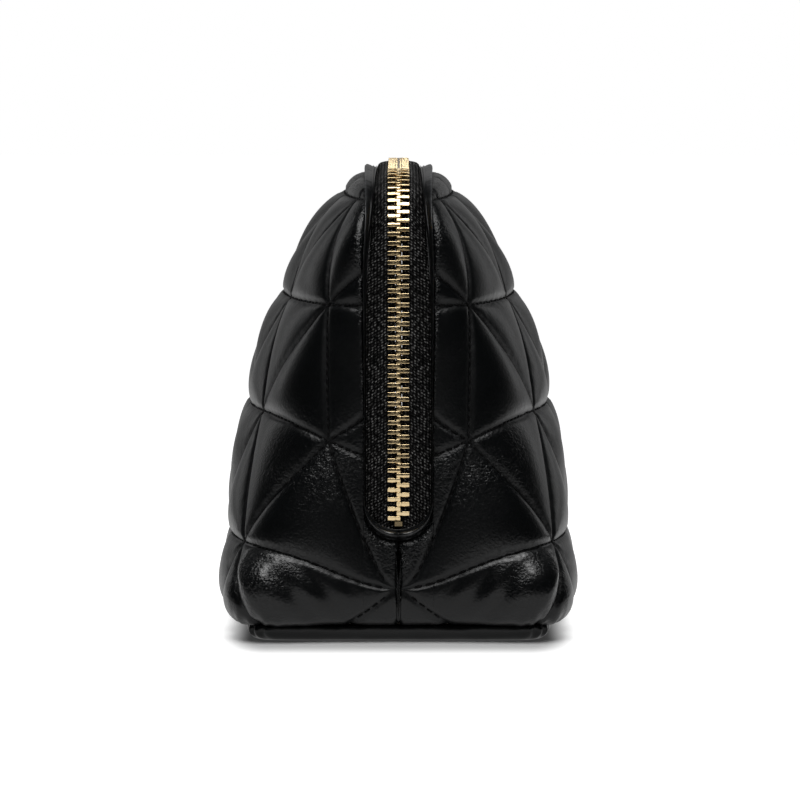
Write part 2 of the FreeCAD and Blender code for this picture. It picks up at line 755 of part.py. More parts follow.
stop_skin = size("tape_thick") / 2 + size("crimp_gap")
stop_bar = [
    (-size("stop_reach"), -stop_skin),
    (size("stop_reach"), -stop_skin),
    (size("stop_reach") - size("tooth_bevel"), -size("stop_half_height")),
    (size("tooth_bevel") - size("stop_reach"), -size("stop_half_height")),
]
zip_bottom_stop = doc.addObject("Part::Feature", "zip_bottom_stop")
zip_bottom_stop.Shape = across_prism(stop_bar, 0.0, size("stop_length"), 1)


# Slider: drawn flat with its narrow end at +X, then laid on the zip's far end with that end up

slider_point, slider_down, slider_out = zip_frame(ZIP_LENGTH - size("slider_rest"))
slider_place = Placement(slider_point, Rotation(slider_down * -1, Vector(0, 1, 0), slider_out, "ZXY"))


def both_sides(half_outline):
    """Closes an outline that is given on its +Y side from front to rear."""
    return half_outline + [(x, f"-({y})") for x, y in reversed(half_outline)]


def symmetric_pad(body, drawn, length, name):
    pad = body.newObject("PartDesign::Pad", name)
    pad.Profile = drawn
    bind(pad, "Length", length)
    pad.SideType = "Symmetric"
    doc.recompute()
    return pad


def symmetric_pocket(body, drawn, length, name):
    pocket = body.newObject("PartDesign::Pocket", name)
    pocket.Profile = drawn
    bind(pocket, "Length", length)
    pocket.SideType = "Symmetric"
    doc.recompute()
    return pocket


zip_slider_body = doc.addObject("PartDesign::Body", "zip_slider_body")
plates = add_sketch(zip_slider_body, "XY_Plane", "slider_plates")
draw_outline(
    plates,
    both_sides(
        [
            ("-<slider_length> / 2", "<slider_front_half> - 1.2"),
            ("1 - <slider_length> / 2", "<slider_front_half>"),
            ("-<slider_length> / 10", "<slider_front_half> - 0.3"),
            ("<slider_length> / 2 - 1", "<slider_rear_half>"),
            ("<slider_length> / 2", "<slider_rear_half> - 1"),
        ]
    ),
)
symmetric_pad(zip_slider_body, plates, "<slider_height>", "slider_block")

divider = both_sides(
    [
        ("0.5 - <slider_length> / 2", "<divider_half> / 2"),
        ("1.6 - <slider_length> / 2", "<divider_half>"),
        ("0.5 + <divider_length> - <slider_length> / 2", "0.15"),
    ]
)
channel = add_sketch(zip_slider_body, "XY_Plane", "slider_channel")
draw_outline(
    channel,
    both_sides(
        [
            ("-<slider_length>", "<channel_front_half>"),
            ("-<slider_length> / 2", "<channel_front_half>"),
            ("-<slider_length> / 10", "<channel_half>"),
            ("<slider_length>", "<channel_half>"),
        ]
    ),
)
draw_outline(channel, divider)
symmetric_pocket(zip_slider_body, channel, "<channel_height>", "slider_channel_cut")
side_slots = add_sketch(zip_slider_body, "XY_Plane", "slider_side_slots")
draw_outline(
    side_slots,
    both_sides([("-<slider_length>", "2 * <slider_front_half>"), ("<slider_length>", "2 * <slider_front_half>")]),
)
draw_outline(side_slots, divider)
symmetric_pocket(zip_slider_body, side_slots, "<side_slot>", "slider_side_slot_cut")


def rim_edges(shape, level):
    """Names of the outline edges of a flat face at a local height."""
    return [
        f"Edge{number}"
        for number, edge in enumerate(shape.Edges, start=1)
        if abs(edge.BoundBox.ZMin - level) < 0.001 and abs(edge.BoundBox.ZMax - level) < 0.001
    ]


def round_edges(body, feature, names, radius, name):
    fillet = body.newObject("PartDesign::Fillet", name)
    fillet.Base = (feature, names)
    fillet.Radius = radius
    doc.recompute()
    return fillet


slotted = zip_slider_body.Tip
half_slider = size("slider_height") / 2
slider_rims = rim_edges(slotted.Shape, half_slider) + rim_edges(slotted.Shape, -half_slider)
round_edges(zip_slider_body, slotted, slider_rims, 0.5, "slider_rounding")
zip_slider_body.Placement = slider_place

zip_slider_bridge = doc.addObject("PartDesign::Body", "zip_slider_bridge")
arch = add_sketch(zip_slider_bridge, "XZ_Plane", "bridge_arch")
arch_outline = []
for x_side in (-1, 1):
    outer = [
        (f"{x_side} * <bridge_length> / 2", "<slider_height> / 2"),
        (f"{x_side} * <bridge_length> / 2", "<slider_height> / 2 + <bridge_height> - 1.4"),
        (f"{x_side} * (<bridge_length> / 2 - 1.4)", "<slider_height> / 2 + <bridge_height>"),
    ]
    arch_outline += outer if x_side < 0 else outer[::-1]
for x_side in (1, -1):
    inner = [
        (f"{x_side} * (<bridge_length> / 2 - <bridge_bar>)", "<slider_height> / 2"),
        (f"{x_side} * (<bridge_length> / 2 - <bridge_bar>)", "<slider_height> / 2 + <bridge_height> - 1.7"),
        (f"{x_side} * (<bridge_length> / 2 - 1.7)", "<slider_height> / 2 + <bridge_height> - <bridge_bar>"),
    ]
    arch_outline += inner if x_side > 0 else inner[::-1]
draw_outline(arch, arch_outline)
symmetric_pad(zip_slider_bridge, arch, "<bridge_width>", "bridge_solid")
zip_slider_bridge.Placement = slider_place


# Pull tab: a flat tab with a window round the arch; its bar hangs in the arch and is the swing's axis

zip_puller = doc.addObject("PartDesign::Body", "zip_puller")
tab = add_sketch(zip_puller, "XY_Plane", "pull_outline")
draw_outline(
    tab,
    both_sides(
        [
            ("-<pull_length>", "<pull_half> - 2"),
            ("2 - <pull_length>", "<pull_half>"),
            ("5 - <pull_length>", "<pull_half>"),
            ("-<pull_bar> / 2 - <pull_window_length>", "<pull_neck_half>"),
            ("<pull_bar> / 2", "<pull_neck_half>"),
        ]
    ),
)
symmetric_pad(zip_puller, tab, "<pull_thick>", "pull_tab")
window = add_sketch(zip_puller, "XY_Plane", "pull_window")
draw_outline(
    window,
    both_sides(
        [
            ("-<pull_bar> / 2 - <pull_window_length>", "<pull_window_half>"),
            ("-<pull_bar> / 2", "<pull_window_half>"),
        ]
    ),
)
symmetric_pocket(zip_puller, window, "2 * <pull_thick>", "pull_window_cut")
tab_cut = zip_puller.Tip
half_pull = size("pull_thick") / 2
pull_rims = rim_edges(tab_cut.Shape, half_pull) + rim_edges(tab_cut.Shape, -half_pull)
round_edges(zip_puller, tab_cut, pull_rims, 0.35, "pull_rounding")
swing_height = half_slider + (size("bridge_height") - size("bridge_bar")) / 2
zip_puller.Placement = slider_place.multiply(
    Placement(Vector(0, 0, swing_height), Rotation(Vector(0, 1, 0), size("pull_lean")))
)


# Checks, then one STEP file for each piece

doc.recompute()
for thing in doc.Objects:
    if "Invalid" in thing.State or "Error" in thing.State:
        raise RuntimeError(f"{thing.Name} did not build: {thing.State}")

PIECES = [
    (base_panel, "base_panel", 1),
    (base_wadding, "base_wadding", 1),
    (base_board, "base_board", 1),
    (base_lining, "base_lining", 1),
    (front_panel, "front_panel", 1),
    (back_panel, "back_panel", 1),
    (front_wadding, "front_wadding", 1),
    (back_wadding, "back_wadding", 1),
    (front_lining, "front_lining", 1),
    (back_lining, "back_lining", 1),
    (front_zip_tape, "front_zip_tape", 1),
    (back_zip_tape, "back_zip_tape", 1),
    (front_zip_teeth, "front_zip_teeth", len(front_zip_teeth.Shape.Solids)),
    (back_zip_teeth, "back_zip_teeth", len(back_zip_teeth.Shape.Solids)),
    (front_top_stop, "front_top_stop", 1),
    (back_top_stop, "back_top_stop", 1),
    (zip_bottom_stop, "zip_bottom_stop", 1),
    (zip_slider_body, "zip_slider_body", 1),
    (zip_slider_bridge, "zip_slider_bridge", 1),
    (zip_puller, "zip_puller", 1),
]

os.makedirs("parts", exist_ok=True)
for piece, node, solids in PIECES:
    shape = piece.Shape
    if not shape.isValid() or len(shape.Solids) != solids or shape.Volume <= 0:
        raise RuntimeError(f"{node} is not sound: {len(shape.Solids)} solids, volume {shape.Volume:.1f}")
    shape.exportStep(f"parts/{node}.step")
    box = shape.BoundBox
    print(f"{node}: x {box.XMin:.1f}..{box.XMax:.1f} y {box.YMin:.1f}..{box.YMax:.1f} z {box.ZMin:.1f}..{box.ZMax:.1f}")
swing_point = zip_puller.Placement.Base
print("slider", slider_point, "up", slider_down * -1, "swing", swing_point, "zip length", ZIP_LENGTH)
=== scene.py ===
import math
import bmesh
import bpy
import numpy as np
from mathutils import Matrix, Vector, kdtree, noise


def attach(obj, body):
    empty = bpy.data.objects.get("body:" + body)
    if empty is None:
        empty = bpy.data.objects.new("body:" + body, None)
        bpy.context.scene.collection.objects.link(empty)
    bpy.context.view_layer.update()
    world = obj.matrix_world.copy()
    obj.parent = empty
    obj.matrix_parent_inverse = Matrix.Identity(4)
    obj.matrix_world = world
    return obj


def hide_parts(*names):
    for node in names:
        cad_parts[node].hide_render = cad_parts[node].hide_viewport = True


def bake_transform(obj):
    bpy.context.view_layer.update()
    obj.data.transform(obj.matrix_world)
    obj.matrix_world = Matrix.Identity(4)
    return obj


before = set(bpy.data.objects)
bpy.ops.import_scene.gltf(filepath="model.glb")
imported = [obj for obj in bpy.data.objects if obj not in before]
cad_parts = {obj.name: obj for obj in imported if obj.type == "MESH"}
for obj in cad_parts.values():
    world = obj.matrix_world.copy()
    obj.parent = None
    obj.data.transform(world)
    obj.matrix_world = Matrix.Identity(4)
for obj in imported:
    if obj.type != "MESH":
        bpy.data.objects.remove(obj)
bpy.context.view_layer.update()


# Base panel: one piece of the same black leather as the walls, turned up round a thin layer of wadding and sewn to
# their foot. The pouch stands on it, so its underside is flat and only its rim is soft.


class Field:
    """One output of a material's nodes. Sums, products and powers of fields add Math nodes."""

    def __init__(self, tree, output=None):
        self.tree, self.output = tree, output

    def node(self, kind, settings, inputs, output=0):
        """One output of a new node, from its type, its settings and the values or links of its sockets."""
        made = self.tree.nodes.new(kind)
        for name, value in settings.items():
            setattr(made, name, value)
        for name, value in inputs.items():
            if isinstance(value, Field):
                self.tree.links.new(value.output, made.inputs[name])
            else:
                made.inputs[name].default_value = value
        return Field(self.tree, made.outputs[output] if len(made.outputs) else None)

    def maths(self, operation, *others):
        return self.node("ShaderNodeMath", {"operation": operation}, dict(enumerate((self, *others))))

    def __add__(self, other):
        return self.maths("ADD", other)

    def __sub__(self, other):
        return self.maths("SUBTRACT", other)

    def __rsub__(self, other):
        return self.node("ShaderNodeMath", {"operation": "SUBTRACT"}, {0: other, 1: self})

    def __mul__(self, other):
        return self.maths("MULTIPLY", other)

    def __pow__(self, other):
        return self.maths("POWER", other)

    __radd__, __rmul__ = __add__, __mul__


def new_finish(name):
    """An empty material and the field that its nodes start from."""
    finish = bpy.data.materials.new(name)
    finish.use_nodes = True
    finish.node_tree.nodes.clear()
    return finish, Field(finish.node_tree)


def place_on(start):
    """The place on a piece, in metres."""
    return start.node("ShaderNodeTexCoord", {}, {}, "Object")


def mottle(start, place, scale, detail):
    """Soft noise over a surface."""
    return start.node("ShaderNodeTexNoise", {}, {"Vector": place, "Scale": scale, "Detail": detail})


def two_tone(start, share, dark, pale):
    """A colour between two others, by a field from 0 to 1."""
    return start.node("ShaderNodeMix", {"data_type": "RGBA"}, {"Factor": share, 6: dark, 7: pale}, 2)


def relief(start, strength, depth, height):
    """The normal of a surface with fine relief, as deep as depth in metres."""
    return start.node("ShaderNodeBump", {}, {"Strength": strength, "Distance": depth, "Height": height})


def close_finish(finish, start, sockets):
    """Ends a material in one shaded surface and gives it back."""
    surface = start.node("ShaderNodeBsdfPrincipled", {}, sockets)
    start.node("ShaderNodeOutputMaterial", {}, {"Surface": surface})
    return finish


def leather_finish():
    """Black dyed leather: a fine pebble, short crinkles where the skin is gathered, a wax finish that is duller in the
    seams and polished where it is handled, and a painted highlight, pale, along the crest of the folded edges."""
    finish, start = new_finish("black_leather")
    place = place_on(start)
    gathered, seam, polished, crest_highlight = [
        start.node("ShaderNodeAttribute", {"attribute_name": field}, {}, "Fac")
        for field in ("gathered", "seam", "polished", "crest_highlight")
    ]
    wobble = start.node("ShaderNodeTexNoise", {}, {"Vector": place, "Scale": 700.0, "Detail": 2.0}, "Color")
    bent = start.node("ShaderNodeMix", {"data_type": "VECTOR"}, {"Factor": 0.0011, 4: place, 5: wobble}, 1)
    pebble = start.node("ShaderNodeTexVoronoi", {"feature": "SMOOTH_F1"}, {"Vector": bent, "Scale": 1500.0})
    pores = mottle(start, place, 3600.0, 2.0)
    drawn = start.node("ShaderNodeVectorMath", {"operation": "MULTIPLY"}, {0: bent, 1: (1.0, 0.5, 1.0)})
    crinkle = start.node("ShaderNodeTexNoise", {}, {"Vector": drawn, "Scale": 1700.0, "Detail": 2.0, "Roughness": 0.55})
    cloudy = mottle(start, place, 45.0, 3.0)
    height = pebble * (0.12 + gathered * 1.9) + pores * 0.04 + crinkle * (0.04 + gathered * 3.0)
    dyed = two_tone(start, cloudy, (0.0015, 0.0019, 0.0022, 1), (0.0029, 0.0034, 0.0038, 1))
    sockets = {
        # Base Color: a painted highlight, pale, on the crest of the folded lip.
        "Base Color": two_tone(start, crest_highlight, dyed, (0.070, 0.073, 0.077, 1)),
        "Roughness": 0.26 + cloudy * 0.08 + pebble * 0.06 + seam * 0.14 - gathered * 0.08,
        "Normal": relief(start, 0.8, 0.00024, height),
        "Specular IOR Level": 0.3,
        "Coat Weight": polished * (1.2 - pebble * 1.6),
        "Coat Roughness": 0.12,
    }
    return close_finish(finish, start, sockets)


black_leather = leather_finish()

ZIP_FOOT_Z, ZIP_FOOT_X, ZIP_TOP_Z, ZIP_BEND = 31.0, 98.05, 122.8, 25.0
TILT = math.radians(8.6)
BEND_Z = ZIP_TOP_Z - ZIP_BEND
BEND_X = ZIP_FOOT_X - (ZIP_BEND + (BEND_Z - ZIP_FOOT_Z) * math.sin(TILT)) / math.cos(TILT)
LIP_STAND, WALL_FOOT_Z, TUCK_Z = 3.0, 4.5, 18.0
END_TUCK, SIDE_TUCK = 6.0, 5.0
HALF_DEPTH, DEPTH_ENDS_Z = 46.0, 128.0
END_POWER, SIDE_POWER = 1.7, 4.0


def tuck(z, depth):
    """How far a wall curls in at a height, towards its seam with the base, in millimetres."""
    return depth * np.clip((TUCK_Z - z) / (TUCK_Z - WALL_FOOT_Z), 0, None) ** 3.2


def end_reach(z):
    """Half the pouch's length at a height."""
    radius = ZIP_BEND + LIP_STAND
    bend = BEND_X + np.sqrt(np.clip(radius**2 - (z - BEND_Z) ** 2, 0, None))
    run = ZIP_FOOT_X - (z - ZIP_FOOT_Z) * math.tan(TILT) + LIP_STAND / math.cos(TILT)
    return np.where(z > BEND_Z + radius * math.sin(TILT), bend, run) - tuck(z, END_TUCK)


def side_reach(z):
    """Half the pouch's depth at a height."""
    return HALF_DEPTH * np.clip(1 - (z / DEPTH_ENDS_Z) ** 2.6, 1e-6, None) ** 0.75 - tuck(z, SIDE_TUCK)


def hill(*terms):
    """A smooth hill, 1 at its top. Each term is a measure, its value at the top and the hill's width along it."""
    return np.exp(-sum(((value - top) / width) ** 2 for value, top, width in terms))


def boxiness(z):
    """How much the plan squares up towards the foot: what its powers gain."""
    return 7.0 * np.exp(-((z / 28.0) ** 1.5))


def plan(z, turn, inset):
    """A point of the pouch's plan at a height: a rounded box at the base that turns to a blunt oval higher up.
    turn runs from 0 at the +X end, along the front wall, to pi at the -X end."""
    z, turn = np.broadcast_arrays(np.asarray(z, float), np.asarray(turn, float))
    boxy = boxiness(z) + 6.0 * hill((z, 0, 11.0))
    c, s = np.abs(np.cos(turn)), np.abs(np.sin(turn))
    low, high = np.full(z.shape, 0.5), np.full(z.shape, 1.5)
    for _ in range(42):
        middle = (low + high) / 2
        inside = (c * middle) ** (END_POWER + boxy) + (s * middle) ** (SIDE_POWER + boxy) < 1
        low, high = np.where(inside, middle, low), np.where(inside, high, middle)
    x = (end_reach(z) - inset) * np.cos(turn) * low
    y = -(side_reach(z) - inset) * np.sin(turn) * low
    return np.stack([x, y, z], axis=-1)


MM = 0.001


def new_piece(name, points, faces, finish, rounded=True):
    """A mesh object from points in millimetres."""
    mesh = bpy.data.meshes.new(name)
    mesh.from_pydata((np.asarray(points) * MM).tolist(), [], faces)
    mesh.validate()
    work = bmesh.new()
    work.from_mesh(mesh)
    bmesh.ops.recalc_face_normals(work, faces=work.faces)
    work.to_mesh(mesh)
    work.free()
    mesh.polygons.foreach_set("use_smooth", [rounded] * len(mesh.polygons))
    mesh.materials.append(finish)
    piece = bpy.data.objects.new(name, mesh)
    bpy.context.scene.collection.objects.link(piece)
    return piece


def tube_faces(rows, columns, round_rows=False):
    """Quads and the two end faces of a tube of points stored row by row. Each row is a ring of the tube, or with
    round_rows each column is."""
    row, column = np.meshgrid(np.arange(rows - (not round_rows)), np.arange(columns - round_rows), indexing="ij")
    below, beside = (row + 1) % rows, (column + 1) % columns
    corners = [row * columns + column, row * columns + beside, below * columns + beside, below * columns + column]
    numbers = np.arange(rows * columns).reshape(rows, columns)
    ends = [numbers[:, 0], numbers[:, -1]] if round_rows else [numbers[0], numbers[-1]]
    return np.stack(corners, -1).reshape(-1, 4).tolist() + [end.tolist() for end in ends]


def noise_over(points, pace, seed):
    """Smooth noise from -1 to 1 at points in millimetres, with features about one pace wide."""
    flat = points.reshape(-1, 3) / pace
    values = [noise.noise(Vector((p[0] + seed, p[1] - seed, p[2] + 0.5 * seed))) for p in flat]
    return np.array(values).reshape(points.shape[:-1])


RIM_STEPS, RIM_TOP, RIM_INSET = 600, 4.38, 0.5
RIM_CORNER_X, RIM_CORNER_Y, CORNER_GATHER, GATHER_PACE = 95, 39, 1.2, 5.0
rim_turns = np.linspace(0, 2 * math.pi, RIM_STEPS, endpoint=False)
foot_z = np.full(RIM_STEPS, WALL_FOOT_Z)
rim_profile = [(-9.0, 0.0), (-2.6, 0.0), (-1.7, 0.1), (-1.05, 0.4), (-0.6, 0.9), (-0.25, 1.5), (0.0, 2.2), (0.12, 2.9)]
rim_profile += [(0.08, 3.5), (-0.2, 3.95), (-0.8, 4.25), (-1.6, RIM_TOP), (-4.0, RIM_TOP)]
rim_loops = []
for reach, z in rim_profile:
    loop = plan(foot_z, rim_turns, RIM_INSET - reach)
    loop[:, 2] = z
    rim_loops.append(loop)
rim_loops = np.array(rim_loops)
rim_bulge = np.sin(math.pi * np.clip(rim_loops[..., 2] / RIM_TOP, 0, 1))
rim_slack = 0.5 * noise_over(rim_loops * [1, 1, 0.4], 11.0, 4.0) + 0.16 * noise_over(rim_loops, 2.8, 8.0)
corner_x, corner_y = np.abs(rim_loops[..., 0]), np.abs(rim_loops[..., 1])
rim_corner = hill((corner_x, RIM_CORNER_X, 5), (corner_y, RIM_CORNER_Y, 4.5))
rim_slack += CORNER_GATHER * np.sin((corner_y - corner_x) * (2 * math.pi / GATHER_PACE)) * rim_corner
rim_out = rim_loops[..., :2] / np.linalg.norm(rim_loops[..., :2], axis=-1, keepdims=True)
rim_loops[..., :2] += rim_out * (rim_slack * rim_bulge)[..., None]
base_leather = new_piece(
    "base_leather", rim_loops.reshape(-1, 3), tube_faces(len(rim_profile), RIM_STEPS), black_leather
)
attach(base_leather, "base")
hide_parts("base_panel", "base_wadding")


# Quilted walls: front and back are each one leather panel backed with wadding and stitched through in a lattice of
# triangles, so every cell swells into a pillow. Along the zip the edge is folded back and topstitched.

LIP_HALF, SLOT_FOOT, SLOT_ROUND, TOP_DRAWN = 9.0, 29.5, 8.55, 1.2
QUILT_CELL, QUILT_RISE, QUILT_SIDE, MIDDLE_COLUMN = 46.0, 32.0, 39.4, 3
ROW_HEIGHTS, ROW_SHIFTS = [25.8, 58.8, 88.5, 116.0], [-0.13, -0.27, -0.115, 0.0]
ROW_BELOW, ROW_ABOVE = -7.2, 143.5
FINE_COLUMNS, COLUMNS, COLUMN_STEPS, WALL_ROWS, INSIDE_ROWS = 1601, 520, 90, 156, 34
LIP_ROWS = [0, 0.12, 0.3, 0.55, 0.85, 1.15, 1.45, 1.75, 2.0, 2.2, 2.4, 2.65, 3.0, 3.5, 4.1, 4.8, 5.6, 6.5]
EVEN_ROWS_FROM = 7.3
TOPSTITCH, STITCH_PACE = 2.35, 2.5


def smooth(low, high, value):
    """0 below low, 1 above high and an easy slope between."""
    share = np.clip((value - low) / (high - low), 0, 1)
    return share * share * (3 - 2 * share)


def slot_half(z):
    """Half the zip opening at a height: rounded at its lower end and drawn in a little over the top."""
    up = np.clip(z - SLOT_FOOT, 0, SLOT_ROUND)
    floor = (LIP_HALF - SLOT_ROUND) * np.clip(up / 0.2, 0, 1)
    drawn = TOP_DRAWN * smooth(96, 118, z)
    return floor + np.sqrt(SLOT_ROUND**2 - (SLOT_ROUND - up) ** 2) - drawn


def lip_height(turn):
    """Height at which a column of the wall reaches the zip opening."""
    low, high = np.full(turn.shape, 20.0), np.full(turn.shape, 126.0)
    for _ in range(44):
        middle = (low + high) / 2
        leather = -plan(middle, turn, 0.0)[..., 1] > slot_half(middle)
        low, high = np.where(leather, middle, low), np.where(leather, high, middle)
    return low


def run_length(points):
    """Lengths along rows of points, each from its first point."""
    steps = np.linalg.norm(np.diff(points, axis=-2), axis=-1)
    return np.concatenate([np.zeros(steps.shape[:-1] + (1,)), np.cumsum(steps, axis=-1)], axis=-1)


fine_turns = np.linspace(0, math.pi, FINE_COLUMNS)
foot_run = run_length(plan(np.full(FINE_COLUMNS, WALL_FOOT_Z), fine_turns, 0.0))
lip_run = run_length(plan(lip_height(fine_turns), fine_turns, 0.0))
turns = np.interp(np.linspace(0, 2, COLUMNS), foot_run / foot_run[-1] + lip_run / lip_run[-1], fine_turns)
lip_z = lip_height(turns)
column_z = lip_z[:, None] + (WALL_FOOT_Z - lip_z[:, None]) * np.linspace(0, 1, COLUMN_STEPS)[None, :]
column_run = run_length(plan(column_z, turns[:, None], 0.0))


def rows_to_wall(from_lip):
    """Height and turn of the grid's points, from their distances to the lip."""
    z = np.stack([np.interp(from_lip[j], column_run[j], column_z[j]) for j in range(COLUMNS)], axis=1)
    return z, np.broadcast_to(turns[None, :], z.shape)


even_rows = EVEN_ROWS_FROM + (column_run[:, -1:] - EVEN_ROWS_FROM) * np.linspace(0, 1, WALL_ROWS)[None, :]
from_lip = np.concatenate([np.broadcast_to(LIP_ROWS, (COLUMNS, len(LIP_ROWS))), even_rows], axis=1)
wall_z, wall_turn = rows_to_wall(from_lip)
from_lip = from_lip.T
from_foot = column_run[None, :, -1] - from_lip
flat_wall = plan(wall_z, wall_turn, 0.0)
flat_wall[..., 1] = np.minimum(flat_wall[..., 1], 0)

TABLE_FOOT, TABLE_TOP, TABLE_STEPS = 4.0, 126.0, 240
table_z = np.linspace(TABLE_FOOT, TABLE_TOP, int(TABLE_TOP - TABLE_FOOT) + 1)
table_turns = np.linspace(0, math.pi / 2, TABLE_STEPS + 1)
table_run = run_length(plan(table_z[:, None], table_turns[None, :], 0.0))


def plan_run(z, turn):
    """Length of the plan from the nearer end seam to a point, and to the wall's middle, from a table with a row for
    every millimetre of height."""
    z, turn = np.broadcast_arrays(z, turn)
    row = np.clip(z - TABLE_FOOT, 0, TABLE_TOP - TABLE_FOOT - 0.001)
    column = np.minimum(turn, math.pi - turn) / (math.pi / 2) * TABLE_STEPS
    i, j = row.astype(int), np.minimum(column.astype(int), TABLE_STEPS - 1)
    a, b = row - i, column - j
    near = table_run[i, j] * (1 - b) + table_run[i, j + 1] * b
    far = table_run[i + 1, j] * (1 - b) + table_run[i + 1, j + 1] * b
    return near * (1 - a) + far * a, table_run[i, -1] * (1 - a) + table_run[i + 1, -1] * a


ROW_DROOP, NODE_DRAWN = 11.5, 0.14
from_seam, half_wall = plan_run(wall_z, wall_turn)
droop = ROW_DROOP * hill((from_seam, 0, 24.0)) * (1 - smooth(45, 92, wall_z))
quilt_row = np.interp(wall_z + droop, [ROW_BELOW, *ROW_HEIGHTS, ROW_ABOVE], [-1, 0, 1, 2, 3, 4])
row_shift = np.interp(quilt_row, [0, 1, 2, 3], ROW_SHIFTS)
half_above = plan_run(np.maximum(wall_z, TUCK_Z), wall_turn)[1]
to_middle = (half_wall - from_seam) * half_above / half_wall
quilt_column = MIDDLE_COLUMN - to_middle / QUILT_CELL + row_shift * (1 - from_seam / half_wall)
quilt_column = quilt_column + NODE_DRAWN * (np.clip(1 - np.abs(quilt_row), 0, 1) * hill((from_seam, 0, 22.0)))
quilt_column = np.where(wall_turn > math.pi / 2, 2 * MIDDLE_COLUMN - quilt_column, quilt_column)


def cell_shares(column, row):
    """Barycentric shares of points in their quilt triangles, and a number for each triangle."""
    p, q = column - row / 2, row
    fp, fq = p - np.floor(p), q - np.floor(q)
    upper = fp + fq > 1
    shares = np.stack([np.where(upper, 1 - fp, fp), np.where(upper, 1 - fq, fq), np.abs(1 - fp - fq)], axis=-1)
    return shares, np.floor(p) * 7 + np.floor(q) * 13 + upper * 3


def surface_normals(points):
    """Unit normals of a grid of points, away from the pouch's middle."""
    down, along = np.gradient(points, axis=0), np.gradient(points, axis=1)
    normal = np.cross(down, along)
    normal /= np.maximum(np.linalg.norm(normal, axis=-1, keepdims=True), 1e-9)
    middle = np.array([0.0, 0.0, 60.0])
    flip = np.sign(((points - middle) * normal).sum(-1))
    return normal * np.where(flip == 0, 1, flip)[..., None]


def gathered_leather(seed):
    """Where the skin is gathered: beside the topstitching, above the lowest pillows and at their upper corners."""
    strip = hill((from_lip, 5.0, 5.5)) * smooth(0.5, 2.0, from_lip) * (1 - 0.5 * smooth(80, 110, wall_z))
    knee = hill((from_seam, 22, 14), (wall_z, 45, 11))
    low = 0.6 * hill((from_seam, 38, 12), (wall_z, 18, 6))
    patches = 0.75 + 0.9 * noise_over(flat_wall, 8.0, seed + 31)
    return np.clip(0.04 + (strip + 0.5 * knee + 0.9 * low) * patches, 0, 1)


def seam_distance():
    """Each point's share of its quilt cell, the cell's number and the distance to the nearest quilt seam."""
    shares, cell = cell_shares(quilt_column, quilt_row)
    slant = QUILT_CELL * QUILT_RISE / QUILT_SIDE
    return shares, cell, (shares * [slant, QUILT_RISE, slant]).min(-1)


def dull_seam():
    """Where the wax has not been buffed: in the quilt seams and under the topstitching."""
    return np.clip(hill((seam_distance()[2], 0, 0.9)) + hill((from_lip, TOPSTITCH, 0.7)), 0, 1)


def polished_leather(seed):
    """Where handling has polished the skin: round the foot of the zip's opening and on the lowest pillows."""
    foot = hill((from_lip, 1.0, 0.8)) * (1 - smooth(31.5, 37, wall_z)) * smooth(0.5, 3, from_seam)
    shoulder = hill((from_seam, 38, 13), (wall_z, 20, 7))
    return np.clip(foot + shoulder * (0.8 + 0.3 * noise_over(flat_wall, 6.0, seed + 37)), 0, 1)


def lip_crest_highlight(seed):
    """A painted highlight on the crest of the folded edge along the zip, broken into stretches."""
    crest = hill((from_lip, 1.2, 0.4)) * smooth(33, 38, wall_z)
    return crest * np.clip(0.6 + 0.8 * noise_over(flat_wall, 9.0, seed + 43), 0.15, 1)


PILLOW, SHOULDER, SAG, PUCKER, FOLD, PLEAT, LIP_ROLL, LIP_RUB = 2.25, 2.0, 0.2, 0.16, 0.42, 0.5, 1.75, 0.14
SEAM_GROOVE, SEWN_GROOVE, END_GROOVE, FOOT_GROOVE = 0.6, 0.9, 0.8, 0.5
SHOULDER_SEAM, SHOULDER_Z, FOLD_PACE, PLEAT_PACE, DIAGONAL = 40, 16, 6.5, 3.8, 0.707


